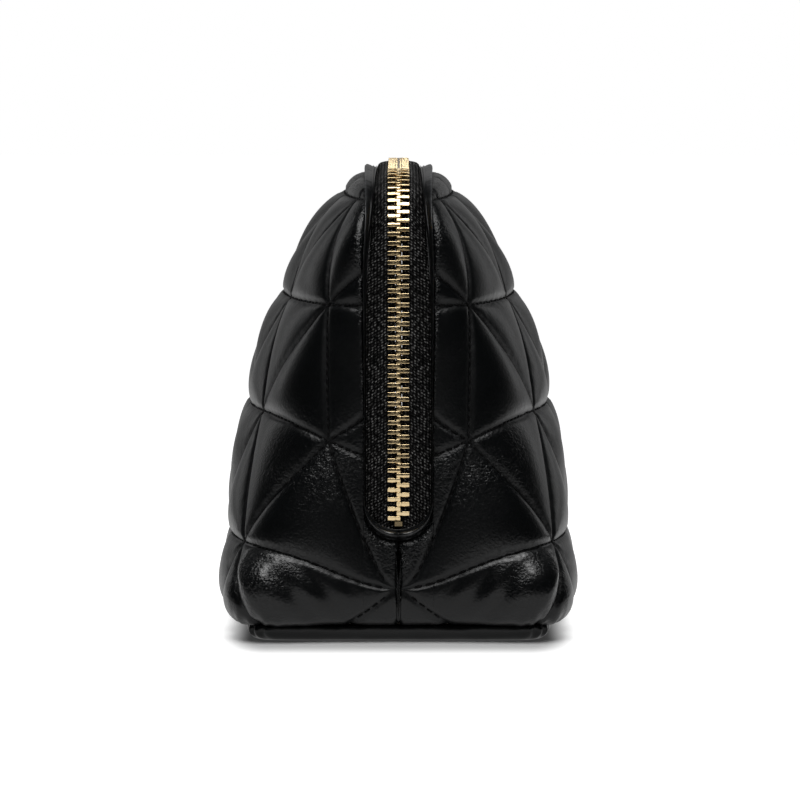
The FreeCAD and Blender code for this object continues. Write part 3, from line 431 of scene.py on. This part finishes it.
def quilted_lift(seed):
    """How far the leather stands off the plain wall: pillows, seams, puckers, folds and the rolled lip."""
    shares, cell, to_seam = seam_distance()
    near_end = np.where(wall_z < SLOT_FOOT + 3, from_seam + 0.3, 99.0)
    edge = np.clip(np.minimum(np.minimum(from_lip - TOPSTITCH, from_foot + 1.6), near_end), 0, None)
    fade = 1 - np.exp(-((edge / 3.6) ** 1.4))
    full = 0.42 + 0.58 * np.maximum(smooth(8, 42, from_seam), smooth(66, 96, wall_z))
    dome = (27 * shares.prod(-1)) ** 0.72
    pillow = PILLOW * full * (1 + 0.14 * np.sin(cell * 2.399 + seed)) * dome * fade
    ridge = (from_seam - SHOULDER_SEAM + wall_z - SHOULDER_Z) * DIAGONAL
    beside = (from_seam - SHOULDER_SEAM - wall_z + SHOULDER_Z) * DIAGONAL
    shoulder = SHOULDER * hill((ridge, 0, 11), (beside, 0, 6.0)) * np.minimum(to_seam / 4, 1)
    sagged = SAG * hill((wall_z, 8.5, 5.5)) * smooth(0, 3, from_foot)
    groove = -SEAM_GROOVE * hill((to_seam, 0, 0.7)) * smooth(0.2, 2.0, edge)
    pucker = PUCKER * noise_over(flat_wall, 2.3, seed) * np.exp(-np.minimum(to_seam, edge + 0.2) / 2.0)
    slant = (from_seam - 24) * 0.75 - (wall_z - 16) * 0.66 + 1.6 * noise_over(flat_wall, 9.0, seed + 5)
    window = hill((from_seam, 25, 9), (wall_z, 13, 6)) * smooth(0, 4, to_seam)
    folds = FOLD * np.sin(slant * (2 * math.pi / FOLD_PACE)) * window
    corner = hill((from_seam, SHOULDER_SEAM, 7), (from_foot, 0, 5.0)) * smooth(0, 1.2, from_foot)
    wander = 2.5 * noise_over(flat_wall, 7.0, seed + 17)
    pleats = PLEAT * np.sin(from_seam * (2 * math.pi / PLEAT_PACE) + wander) * corner
    crumple = 0.3 - np.abs(noise_over(flat_wall, 3.2, seed + 13)) * 1.3
    slack = 0.06 * crumple * gathered_leather(seed) * fade + 0.5 * noise_over(flat_wall, 30.0, seed + 9) * dome * fade
    roll = np.sin(math.pi * np.clip(from_lip / TOPSTITCH, 0, 1)) ** 0.9
    lip = LIP_ROLL * roll * (from_lip < TOPSTITCH)
    sewn = -SEWN_GROOVE * hill((np.clip(from_lip - TOPSTITCH, 0, None), 0, 1.1))
    rub = LIP_RUB * noise_over(flat_wall, 7.0, seed + 21) * np.exp(-from_lip / 3.0)
    end_groove = -END_GROOVE * hill((from_seam, 0, 0.7)) * (wall_z < SLOT_FOOT)
    foot_groove = -FOOT_GROOVE * hill((from_foot, 0, 1.1))
    soft = pillow + shoulder + sagged + pucker + folds + pleats + slack + rub
    return soft + groove + lip + sewn + end_groove + foot_groove


inside_shares = np.linspace(0, 1, INSIDE_ROWS)
inner_from_lip = np.stack(
    [np.interp(inside_shares, [0, 0.35, 1], [0.5, 9.0, run - 0.3]) for run in column_run[:, -1]]
)
inner_z, inner_turn = rows_to_wall(inner_from_lip)
wall_inside = plan(inner_z, inner_turn, 2.15 + 1.45 * smooth(4.6, 7.5, inner_from_lip.T))
wall_normal = surface_normals(flat_wall)
lip_away = flat_wall[0] - flat_wall[3]
lip_away /= np.linalg.norm(lip_away, axis=-1, keepdims=True)
LIP_TURN = ((0.26, -0.62), (0.4, -0.95), (0.36, -1.4), (0.12, -1.8))


def wall_points(seed):
    """The wall's outside on the front side, and its whole closed section round the lip. Each step of the lip's turn
    is how far it lies past the edge and how deep."""
    outside = flat_wall + wall_normal * quilted_lift(seed)[..., None]
    outside[..., 2] -= 0.5 * hill((from_foot, 0, 1.2))
    turn_in = [flat_wall[0] + lip_away * away + wall_normal[0] * depth for away, depth in LIP_TURN]
    section = np.concatenate([outside[::-1], np.stack(turn_in), wall_inside])
    section[..., 1] = np.minimum(section[..., 1], 0)
    return section[: len(outside)][::-1], section


def cover_wall(name, side, seed, nodes):
    """Makes one wall and the fields of its finish, and gives back its outside."""
    outside, section = wall_points(seed)
    rows = len(section)
    faces = tube_faces(rows, COLUMNS, round_rows=True)
    wall = new_piece(name, section.reshape(-1, 3) * [1, side, 1], faces, black_leather)
    finish_fields = {
        "gathered": gathered_leather(seed),
        "seam": dull_seam(),
        "polished": polished_leather(seed),
        # A painted highlight, pale, along the crest of the lip.
        "crest_highlight": lip_crest_highlight(seed),
    }
    for field, values in finish_fields.items():
        shown = np.zeros((rows, COLUMNS))
        shown[: len(outside)] = values[::-1]
        wall.data.attributes.new(field, "FLOAT", "POINT").data.foreach_set("value", shown.ravel())
    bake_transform(wall)
    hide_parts(*nodes)
    return outside * [1, side, 1]


front_outside = cover_wall("front_quilted_wall", 1, 3.0, ["front_panel", "front_wadding"])
back_outside = cover_wall("back_quilted_wall", -1, 41.0, ["back_panel", "back_wadding"])


# Stitching: black bonded thread, a stitch every two and a half millimetres along the quilt's seams, and a row of
# topstitching that holds the folded lip down. Each stitch lies in its seam with both ends pulled into the leather.

THREAD, STITCH_ROUND = 0.31, 6
STITCH_STEPS = ((0.0, 0.35, -0.28), (0.16, 0.95, 0.02), (0.5, 1.0, 0.05), (0.84, 0.95, 0.02), (1.0, 0.35, -0.28))


def thread_finish():
    """Matt black thread with a fine twist."""
    finish, start = new_finish("black_thread")
    place = place_on(start)
    twist = mottle(start, place, 5200.0, 2.0)
    sockets = {
        "Base Color": two_tone(start, twist, (0.0006, 0.0006, 0.0007, 1), (0.0022, 0.0022, 0.0024, 1)),
        "Roughness": 0.5 + twist * 0.25,
        "Normal": relief(start, 0.5, 0.0001, twist),
        "Specular IOR Level": 0.12,
    }
    return close_finish(finish, start, sockets)


black_thread = thread_finish()


def sew(name, starts, ends, outward):
    """Short plump threads from each start to its end, with both ends dipped into the leather, as one piece. Each step
    of a stitch is its share of the length, its girth and its lift off the leather."""
    along = ends - starts
    side = np.cross(along, outward)
    side /= np.maximum(np.linalg.norm(side, axis=1, keepdims=True), 1e-9)
    rings = []
    for share, girth, lift in STITCH_STEPS:
        centre = starts + along * share + outward * lift
        for corner in range(STITCH_ROUND):
            angle = 2 * math.pi * corner / STITCH_ROUND
            rings.append(centre + THREAD * girth * (side * math.cos(angle) + outward * math.sin(angle)))
    points = np.stack(rings, axis=1)
    count, size = points.shape[:2]
    one = tube_faces(len(STITCH_STEPS), STITCH_ROUND)
    faces = [[corner + number * size for corner in face] for number in range(count) for face in one]
    piece = new_piece(name, points.reshape(-1, 3), faces, black_thread)
    return piece


quilt_x, quilt_y = quilt_column * QUILT_CELL, quilt_row * QUILT_RISE
quilt_tree = kdtree.KDTree(quilt_x.size)
for number, (x, y) in enumerate(zip(quilt_x.ravel(), quilt_y.ravel())):
    quilt_tree.insert((x, y, 0), number)
quilt_tree.balance()
x_down, x_along = np.gradient(quilt_x)
y_down, y_along = np.gradient(quilt_y)
GRID_GAP = 1.6


def on_wall(x, y, field):
    """A grid field at a place of the quilt laid flat, or None off the wall."""
    _, number, gap = quilt_tree.find((x, y, 0))
    at = divmod(number, COLUMNS)
    dx, dy = x - quilt_x[at], y - quilt_y[at]
    area = x_down[at] * y_along[at] - x_along[at] * y_down[at]
    if gap > GRID_GAP or abs(area) < 1e-6:
        return None
    i = at[0] + (dx * y_along[at] - dy * x_along[at]) / area
    j = at[1] + (dy * x_down[at] - dx * y_down[at]) / area
    if not (0 <= i < field.shape[0] - 1 and 0 <= j < COLUMNS - 1):
        return None
    a, b = int(i), int(j)
    s, t = i - a, j - b
    near = field[a, b] * (1 - t) + field[a, b + 1] * t
    far = field[a + 1, b] * (1 - t) + field[a + 1, b + 1] * t
    return near * (1 - s) + far * s


def quilt_stitches(outside):
    """Starts, ends and outward directions of the stitches in the quilt seams and along the lip. The grid that they are
    read from holds each point's place, outward direction and distances to the lip, the foot and the end seam."""
    normals = surface_normals(outside)
    grid = np.concatenate([outside, normals, from_lip[..., None], from_foot[..., None], from_seam[..., None]], axis=-1)
    slant_x, slant_y = 0.5 * QUILT_CELL / QUILT_SIDE, QUILT_RISE / QUILT_SIDE
    level = [(0.0, QUILT_RISE * row, 1.0, 0.0) for row in range(len(ROW_HEIGHTS))]
    rising = [(QUILT_CELL * column, 0.0, slant_x, slant_y) for column in range(-3, 8)]
    falling = [(QUILT_CELL * column, 0.0, -slant_x, slant_y) for column in range(0, 11)]
    starts, ends, outward = [], [], []
    for x, y, step_x, step_y in level + rising + falling:
        for number in range(-18, 125):
            near, far = (number + 0.07) * STITCH_PACE, (number + 0.93) * STITCH_PACE
            a = on_wall(x + step_x * near, y + step_y * near, grid)
            b = on_wall(x + step_x * far, y + step_y * far, grid)
            if a is None or b is None:
                continue
            lip_gap, foot_gap, end_gap = np.minimum(a[6:], b[6:])
            if lip_gap < TOPSTITCH + 1.0 or foot_gap < 1.2 or (a[2] < SLOT_FOOT and end_gap < 2.6):
                continue
            starts.append(a[:3])
            ends.append(b[:3])
            outward.append(a[3:6])
    row = LIP_ROWS.index(2.4)
    seam, seam_out = outside[row], normals[row]
    runs = run_length(seam)
    for begin in np.arange(1.5, runs[-1] - 4, STITCH_PACE * 1.15):
        for place, kept in ((begin, starts), (begin + 0.85 * STITCH_PACE, ends)):
            kept.append(np.array([np.interp(place, runs, seam[:, axis]) for axis in range(3)]))
        outward.append(np.array([np.interp(begin, runs, seam_out[:, axis]) for axis in range(3)]))
    return np.array(starts), np.array(ends), np.array(outward)


for name, outside, body in (
    ("front_stitching", front_outside, "front_wall"),
    ("back_stitching", back_outside, "back_wall"),
):
    stitching = sew(name, *quilt_stitches(outside))
    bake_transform(stitching)


# Zip tapes: two black knitted tapes, flat beside the teeth and bent down under the folded lips, where they are sewn
# in. Their cut ends hang a little below the zip's foot, behind the leather.

RUN_LENGTH = (BEND_Z + ZIP_BEND * math.sin(TILT) - ZIP_FOOT_Z) / math.cos(TILT)
BEND_LENGTH = ZIP_BEND * (math.pi / 2 - TILT)
HALF_ZIP = RUN_LENGTH + BEND_LENGTH + BEND_X
ZIP_LENGTH = 2 * HALF_ZIP
TAPE_FLAT, TAPE_HALF, TAPE_THICK, TAPE_TAIL, TAPE_CLEAR = 4.9, 13.0, 0.7, 6.0, 3.2
TAPE_SAG, SAG_ACROSS, NARROWER = 0.7, 6.6, 1.6
LOOP_ACROSS, LOOP_ALONG = 0.86, 0.78


def zip_frame(along):
    """Point, direction and outward normal of the zip's line at a length from its foot at +X."""
    if along > HALF_ZIP:
        point, direction, normal = zip_frame(ZIP_LENGTH - along)
        flip = np.array([-1.0, 1.0, 1.0])
        return point * flip, direction * -flip, normal * flip
    reach = min(along, RUN_LENGTH)
    angle = TILT
    point = np.array([ZIP_FOOT_X - reach * math.sin(TILT), 0.0, ZIP_FOOT_Z + reach * math.cos(TILT)])
    if along > RUN_LENGTH + BEND_LENGTH:
        angle = math.pi / 2
        point = np.array([HALF_ZIP - along, 0.0, ZIP_TOP_Z])
    elif along > RUN_LENGTH:
        angle = TILT + (along - RUN_LENGTH) / ZIP_BEND
        point = np.array([BEND_X + ZIP_BEND * math.cos(angle), 0.0, BEND_Z + ZIP_BEND * math.sin(angle)])
    return point, np.array([-math.sin(angle), 0.0, math.cos(angle)]), np.array([math.cos(angle), 0.0, math.sin(angle)])


def tape_dip(along):
    """How far the tape's outer edge lies below the zip's line, under the leather."""
    point, _, normal = zip_frame(along)
    low, high = -30.0, 10.0
    for _ in range(30):
        middle = (low + high) / 2
        x, z = abs(point[0] + normal[0] * middle), point[2] + normal[2] * middle
        depth, length = side_reach(np.float64(z)) - TAPE_CLEAR, end_reach(np.float64(z)) - TAPE_CLEAR
        boxy = boxiness(z)
        inside = depth > 0 and (x / length) ** (END_POWER + boxy) + (TAPE_HALF / depth) ** (SIDE_POWER + boxy) < 1
        low, high = (middle, high) if inside else (low, middle)
    return min(TAPE_THICK / 2, low)


def tape_finish():
    """Black polyester knit: slanting rows of small plump loops, laid out in millimetres across and along the tape."""
    finish, start = new_finish("zip_tape")
    knit = start.node("ShaderNodeAttribute", {"attribute_name": "knit"}, {}, "Vector")
    across = start.node("ShaderNodeSeparateXYZ", {}, {"Vector": knit}, 0)
    along = start.node("ShaderNodeSeparateXYZ", {}, {"Vector": knit}, 1)
    fuzz = mottle(start, knit, 2.2, 3.0)
    slanted = along * (1 / LOOP_ALONG) + across * 0.6 + fuzz * 0.35
    laid = start.node("ShaderNodeCombineXYZ", {}, {0: across * (1 / LOOP_ACROSS) + fuzz * 0.3, 1: slanted, 2: 0.0})
    from_loop = start.node("ShaderNodeTexVoronoi", {"feature": "F1"}, {"Vector": laid, "Scale": 1.0, "Randomness": 0.4})
    height = 1 - (from_loop * 1.45).maths("MINIMUM", 1.0) ** 1.5
    sockets = {
        # Base Color: the loops' tops painted pale, a painted highlight for the glints of the yarn; between them the
        # knit is black.
        "Base Color": two_tone(start, height**5.5, (0.0003, 0.0003, 0.0003, 1), (0.36, 0.355, 0.35, 1)),
        "Roughness": 0.9 - height * 0.5,
        "Normal": relief(start, 1.0, 0.0004, height + fuzz * 0.3),
        "Specular IOR Level": 0.1,
    }
    return close_finish(finish, start, sockets)


knitted_tape = tape_finish()
tape_alongs = np.concatenate(
    [
        np.linspace(-TAPE_TAIL, 0, 6)[:-1],
        np.linspace(0, ZIP_LENGTH, 300),
        np.linspace(ZIP_LENGTH, ZIP_LENGTH + TAPE_TAIL, 6)[1:],
    ]
)
tape_across = np.array([1.0, 1.7, 2.4, 3.2, 4.0, 4.6, 5.2, 5.8, 6.6, 7.6, 8.8, 10.0, 11.5, TAPE_HALF])
dip_places = np.linspace(0, HALF_ZIP, 40)
dips = np.array([tape_dip(place) for place in dip_places])


def tape_rows(side):
    """Top and bottom points of one tape and their places in the knit. The flat strip beside the teeth is narrower
    away from the slider's end, and the tape sags a little between the teeth and the lip."""
    top, bottom, places = [], [], []
    for along in tape_alongs:
        point, _, normal = zip_frame(along)
        dip = np.interp(min(along, ZIP_LENGTH - along), dip_places, dips)
        flat = TAPE_FLAT - NARROWER * smooth(-225, -185, -along)
        slope = (TAPE_THICK / 2 - dip) / (TAPE_HALF - flat)
        bend = np.clip(tape_across - flat, 0, None)
        level = TAPE_THICK / 2 - slope * np.where(bend > 1.2, bend - 0.45, bend**2 / 3.2)
        level = level - TAPE_SAG * hill((tape_across, SAG_ACROSS, 2.4))
        thick = np.where(bend > 0, TAPE_THICK * math.sqrt(1 + slope**2), TAPE_THICK)
        for kept, levels in ((top, level), (bottom, level - thick)):
            row = point[None, :] + normal[None, :] * levels[:, None]
            row[:, 1] = side * tape_across
            kept.append(row)
        places.append(np.stack([tape_across, np.full(tape_across.shape, along), np.zeros(tape_across.shape)], axis=-1))
    return np.array(top), np.array(bottom), np.array(places)


for wall, side in (("front", -1), ("back", 1)):
    top, bottom, places = tape_rows(side)
    loop = np.concatenate([top, bottom[:, ::-1]], axis=1)
    knit_places = np.concatenate([places, places[:, ::-1]], axis=1)
    tape = new_piece(f"{wall}_tape_cloth", loop.reshape(-1, 3), tube_faces(*loop.shape[:2]), knitted_tape)
    tape.data.attributes.new("knit", "FLOAT_VECTOR", "POINT").data.foreach_set("vector", knit_places.reshape(-1))
    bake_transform(tape)
    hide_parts(f"{wall}_zip_tape")


# Zip teeth: stamped brass, each clenched round the edge of its tape by two legs, with a narrow neck and a rounded head
# that passes the middle and locks between two teeth of the other tape. The clips that stop the slider match them.

PITCH, FIRST_TOOTH, LAST_FROM_END, STOP_PAST_END = 2.5, 1.6, 12.5, 0.4
LEG_GAP, CLIP_ROUNDING = TAPE_THICK / 2 + 0.08, 0.11
FOOT_LEAN = math.radians(14)
TOOTH_LEGS = ((2.9, 1.14, 1.08), (1.2, 1.2, 1.16), (0.7, 1.18, 0.95))
TOOTH_HEAD = ((0.95, 1.16, 1.0), (0.6, 1.14, 0.92), (0.35, 1.12, 1.14), (-0.45, 1.1, 1.14), (-0.85, 0.7, 0.7))
STOP_LEGS = ((3.1, 1.0, 1.1), (1.3, 1.1, 1.2), (0.95, 1.1, 1.2))
STOP_HEAD = ((1.02, 1.1, 1.2), (0.75, 1.05, 1.2), (0.45, 0.8, 1.0))


def gold_finish():
    """Polished pale brass with fine handling marks."""
    finish, start = new_finish("gold_metal")
    place = place_on(start)
    haze = mottle(start, place, 320.0, 3.0)
    sockets = {
        "Base Color": two_tone(start, haze, (0.74, 0.54, 0.28, 1), (0.87, 0.70, 0.43, 1)),
        "Metallic": 1.0,
        "Roughness": 0.12 + haze * 0.12,
        "Normal": relief(start, 0.15, 0.0001, mottle(start, place, 2600.0, 2.0)),
    }
    return close_finish(finish, start, sockets)


gold_metal = gold_finish()


def clip_shape(legs, head):
    """Points and faces of one clenched clip: across the zip, outward from it, along it. Each station of the legs and
    of the head is a distance across, a half height and a thickness along the chain."""
    work = bmesh.new()
    blocks = [[(a, side * LEG_GAP, side * high, thick) for a, high, thick in legs] for side in (1, -1)]
    blocks.append([(a, -high, high, thick) for a, high, thick in head])
    for block in blocks:
        rings = []
        for a, low, high, thick in block:
            half = thick / 2
            corners = ((low, -half), (high, -half), (high, half), (low, half))
            rings.append([work.verts.new((a, level, along)) for level, along in corners])
        for near, far in zip(rings, rings[1:]):
            for corner in range(4):
                work.faces.new([near[corner - 1], near[corner], far[corner], far[corner - 1]])
        work.faces.new(rings[0])
        work.faces.new(rings[-1][::-1])
    bmesh.ops.recalc_face_normals(work, faces=work.faces)
    bmesh.ops.bevel(
        work, geom=work.edges[:], offset=CLIP_ROUNDING, segments=2, profile=0.6, affect="EDGES", clamp_overlap=True
    )
    work.verts.index_update()
    points = np.array([vert.co[:] for vert in work.verts])
    faces = [[vert.index for vert in face.verts] for face in work.faces]
    work.free()
    return points, faces


def chain(side, first):
    """Every tooth of one tape and its stop clip. The lowest teeth tip out at the top, near the zip's sewn foot."""
    tooth, stop = clip_shape(TOOTH_LEGS, TOOTH_HEAD), clip_shape(STOP_LEGS, STOP_HEAD)
    places = [(along, *tooth) for along in np.arange(first, ZIP_LENGTH - LAST_FROM_END, PITCH)]
    places.append((ZIP_LENGTH + STOP_PAST_END, *stop))
    points, faces, count = [], [], 0
    for along, shape, shape_faces in places:
        point, direction, normal = zip_frame(along)
        lean = FOOT_LEAN * (1 - smooth(8, 18, along))
        outward = normal * math.cos(lean) - direction * math.sin(lean)
        upward = direction * math.cos(lean) + normal * math.sin(lean)
        across = np.array([0.0, side, 0.0])
        points.append(point + shape[:, :1] * across + shape[:, 1:2] * outward + shape[:, 2:] * upward)
        faces += [[corner + count for corner in face] for face in shape_faces]
        count += len(shape)
    return np.concatenate(points), faces


for wall, side, first in (("front", -1, FIRST_TOOTH), ("back", 1, FIRST_TOOTH + PITCH / 2)):
    teeth = new_piece(f"{wall}_teeth", *chain(side, first), gold_metal)
    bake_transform(teeth)
    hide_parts(f"{wall}_zip_teeth", f"{wall}_top_stop")


# Slider, its arch, the pull tab and the bar that closes the zip's near end: small castings plated to match the teeth.
# They keep their CAD shapes and take the same metal.

for node in ("zip_slider_body", "zip_slider_bridge", "zip_puller", "zip_bottom_stop"):
    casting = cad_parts[node]
    casting.data.materials.clear()
    casting.data.materials.append(gold_metal)


# Linings: thin black cloth behind each wall, sewn in at the tape and the foot and a little slack between, and a third
# piece laid over the base board. The board itself is grey pressed card, wrapped in between leather and cloth.

LINING_OUT, LINING_IN, LINING_SLACK = 4.0, 4.5, 1.6
LINING_ROWS, BELOW_LIP, ABOVE_FOOT = 60, 4.7, 3.1


def cloth_finish():
    """Plain-woven black lining; its threads are about two thirds of a millimetre apart."""
    finish, start = new_finish("black_lining")
    place = place_on(start)
    warp, weft = [
        start.node("ShaderNodeTexWave", {"bands_direction": way}, {"Vector": place, "Scale": 480.0, "Distortion": 0.6})
        for way in ("X", "Z")
    ]
    cloudy, woven = mottle(start, place, 60.0, 3.0), warp * weft
    sockets = {
        "Base Color": two_tone(
            start, cloudy * 0.6 + woven * 0.4, (0.006, 0.006, 0.007, 1), (0.016, 0.016, 0.018, 1)
        ),
        "Roughness": 0.55 + cloudy * 0.2,
        "Normal": relief(start, 0.4, 0.0001, woven),
        "Sheen Weight": 0.2,
    }
    return close_finish(finish, start, sockets)


black_lining = cloth_finish()
lining_from_lip = np.stack([np.linspace(BELOW_LIP, run - ABOVE_FOOT, LINING_ROWS) for run in column_run[:, -1]])
lining_z, lining_turn = rows_to_wall(lining_from_lip)
for wall, side, seed in (("front", 1, 17.0), ("back", -1, 29.0)):
    slack = np.clip(noise_over(plan(lining_z, lining_turn, LINING_OUT), 22.0, seed), 0, 1)
    slack = slack * np.sin(math.pi * np.linspace(0, 1, LINING_ROWS)[:, None]) ** 0.5
    skins = []
    for depth in (LINING_OUT, LINING_IN):
        skin = plan(lining_z, lining_turn, depth + LINING_SLACK * slack)
        skin[..., 1] = np.minimum(skin[..., 1], -0.15)
        skins.append(skin)
    loop = np.concatenate([skins[0], skins[1][::-1]])
    faces = tube_faces(len(loop), COLUMNS, round_rows=True)
    lining = new_piece(f"{wall}_lining_cloth", loop.reshape(-1, 3) * [1, side, 1], faces, black_lining)
    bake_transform(lining)
    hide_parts(f"{wall}_lining")

CLOTH_TOP, CLOTH_UNDER, CLOTH_INSET, CLOTH_RINGS = 6.68, 6.16, 2.7, 26
base_rings = []
for level, flip in ((CLOTH_TOP, 1), (CLOTH_UNDER, -1)):
    for share in np.linspace(0.02, 1, CLOTH_RINGS)[::flip]:
        ring = plan(foot_z, rim_turns, CLOTH_INSET) * [share, share, 1]
        ring[:, 2] = level
        base_rings.append(ring)
base_rings = np.array(base_rings)
ripple = 0.12 * noise_over(base_rings * [1, 1, 0], 24.0, 51.0)
base_rings[:CLOTH_RINGS, :, 2] += np.clip(ripple[:CLOTH_RINGS], -0.05, 0.2)
base_faces = tube_faces(2 * CLOTH_RINGS, RIM_STEPS)
base_cloth = new_piece("base_lining_cloth", base_rings.reshape(-1, 3), base_faces, black_lining)
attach(base_cloth, "base")
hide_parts("base_lining")


def card_finish():
    """Grey pressed card with its fibres."""
    finish, start = new_finish("stiff_board")
    place = place_on(start)
    fibres = mottle(start, place, 900.0, 4.0)
    sockets = {
        "Base Color": two_tone(start, fibres, (0.16, 0.14, 0.12, 1), (0.30, 0.27, 0.23, 1)),
        "Roughness": 0.75 + fibres * 0.15,
        "Normal": relief(start, 0.3, 0.0001, fibres),
    }
    return close_finish(finish, start, sockets)


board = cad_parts["base_board"]
board.data.materials.clear()
board.data.materials.append(card_finish())


# Studio: a pale paper floor that keeps the pouch's shadow, with a painted shadow close round the pouch, and a white
# backdrop. Reflections see a dim room with a pale patch behind the pouch. A soft lamp hangs overhead, one stands behind
# each shoulder and a faint card is above the camera, which looks at the near end.

FLOOR_HALF, FLOOR_Z = 6000, -0.02
PAINTED_SHADOW_CORE, PAINTED_SHADOW_SCALE = (0.093, 0.034, 0.0), (0.3, 1.0, 0.0)


def floor_finish():
    """Matt pale paper. For the camera it glows, so that it runs into the backdrop, but hardly at all close to the
    pouch, a painted shadow over the real one, further out in front than at the sides. In reflections the glow is half."""
    finish, start = new_finish("studio_floor")
    place = place_on(start)
    seen, mirrored, through = [
        start.node("ShaderNodeLightPath", {}, {}, f"Is {kind} Ray") for kind in ("Camera", "Glossy", "Transmission")
    ]
    outside = start.node("ShaderNodeVectorMath", {"operation": "ABSOLUTE"}, {0: place})
    for operation, by in (("SUBTRACT", PAINTED_SHADOW_CORE), ("MAXIMUM", (0.0, 0.0, 0.0)), ("MULTIPLY", PAINTED_SHADOW_SCALE)):
        outside = start.node("ShaderNodeVectorMath", {"operation": operation}, {0: outside, 1: by})
    away = start.node("ShaderNodeVectorMath", {"operation": "LENGTH"}, {0: outside}, "Value")
    # The glow fades close to the pouch: a painted shadow.
    far = start.node(
        "ShaderNodeMapRange",
        {"interpolation_type": "SMOOTHSTEP"},
        {"Value": away, "From Min": 0.005, "From Max": 0.0155, "To Min": 0.03, "To Max": 1.0},
    )
    bright = seen * far + (mirrored + through) * 0.5
    glow_colour = start.node("ShaderNodeCombineColor", {}, {0: bright, 1: bright, 2: bright})
    paper = start.node("ShaderNodeBsdfDiffuse", {}, {"Color": (0.5, 0.5, 0.5, 1)})
    glow = start.node("ShaderNodeEmission", {}, {"Color": glow_colour, "Strength": 1.0})
    surface = start.node("ShaderNodeAddShader", {}, {0: paper, 1: glow})
    start.node("ShaderNodeOutputMaterial", {}, {"Surface": surface})
    return finish


floor_corners = [(x * FLOOR_HALF, y * FLOOR_HALF, FLOOR_Z) for x, y in ((-1, -1), (1, -1), (1, 1), (-1, 1))]
floor = new_piece("studio_floor", floor_corners, [[0, 1, 2, 3]], floor_finish(), rounded=False)

world = bpy.data.worlds.new("studio")
bpy.context.scene.world = world
world.use_nodes = True
world.node_tree.nodes.clear()
sky = Field(world.node_tree)
looking = sky.node("ShaderNodeTexCoord", {}, {}, "Generated")
forward = sky.node("ShaderNodeSeparateXYZ", {}, {"Vector": looking}, 0)
behind = sky.node(
    "ShaderNodeMapRange",
    {"interpolation_type": "SMOOTHSTEP"},
    {"Value": forward, "From Min": -0.88, "From Max": -0.99, "To Min": 0.015, "To Max": 0.4},
)
seen = sky.node("ShaderNodeLightPath", {}, {}, "Is Camera Ray")
backdrop = sky.node("ShaderNodeBackground", {}, {"Color": (1, 1, 1, 1), "Strength": behind * (1 - seen) + seen})
sky.node("ShaderNodeOutputWorld", {}, {"Surface": backdrop})


def soft_lamp(name, place, target, width, height, power):
    """A rectangular lamp that faces a target."""
    lamp = bpy.data.lights.new(name, "AREA")
    lamp.shape, lamp.size, lamp.size_y, lamp.energy = "RECTANGLE", width, height, power
    made = bpy.data.objects.new(name, lamp)
    made.location = place
    made.rotation_euler = (Vector(target) - Vector(place)).to_track_quat("-Z", "Y").to_euler()
    bpy.context.scene.collection.objects.link(made)


LAMP_TARGET, CARD_TARGET = (0.05, 0, 0.06), (0.09, 0, 0.07)
soft_lamp("overhead_softbox", (0.25, 0, 1.00), LAMP_TARGET, 0.7, 0.7, 9.0)
for name, y in (("left_softbox", -0.75), ("right_softbox", 0.75)):
    soft_lamp(name, (-0.85, y, 0.45), LAMP_TARGET, 0.35, 0.7, 0.55)
soft_lamp("camera_card", (1.45, 0.0, 0.44), CARD_TARGET, 0.35, 0.35, 0.08)

target = Vector((0.100, 0.0004, 0.0638))
elevation, distance = math.radians(3.5), 1.6
lens = bpy.data.cameras.new("photo_camera")
lens.lens, lens.sensor_width = 274.0, 36.0
camera = bpy.data.objects.new("photo_camera", lens)
camera.location = target + Vector((math.cos(elevation), 0, math.sin(elevation))) * distance
camera.rotation_euler = (target - camera.location).to_track_quat("-Z", "Y").to_euler()
bpy.context.scene.collection.objects.link(camera)
bpy.context.scene.camera = camera
bpy.context.scene.view_settings.view_transform = "Standard"
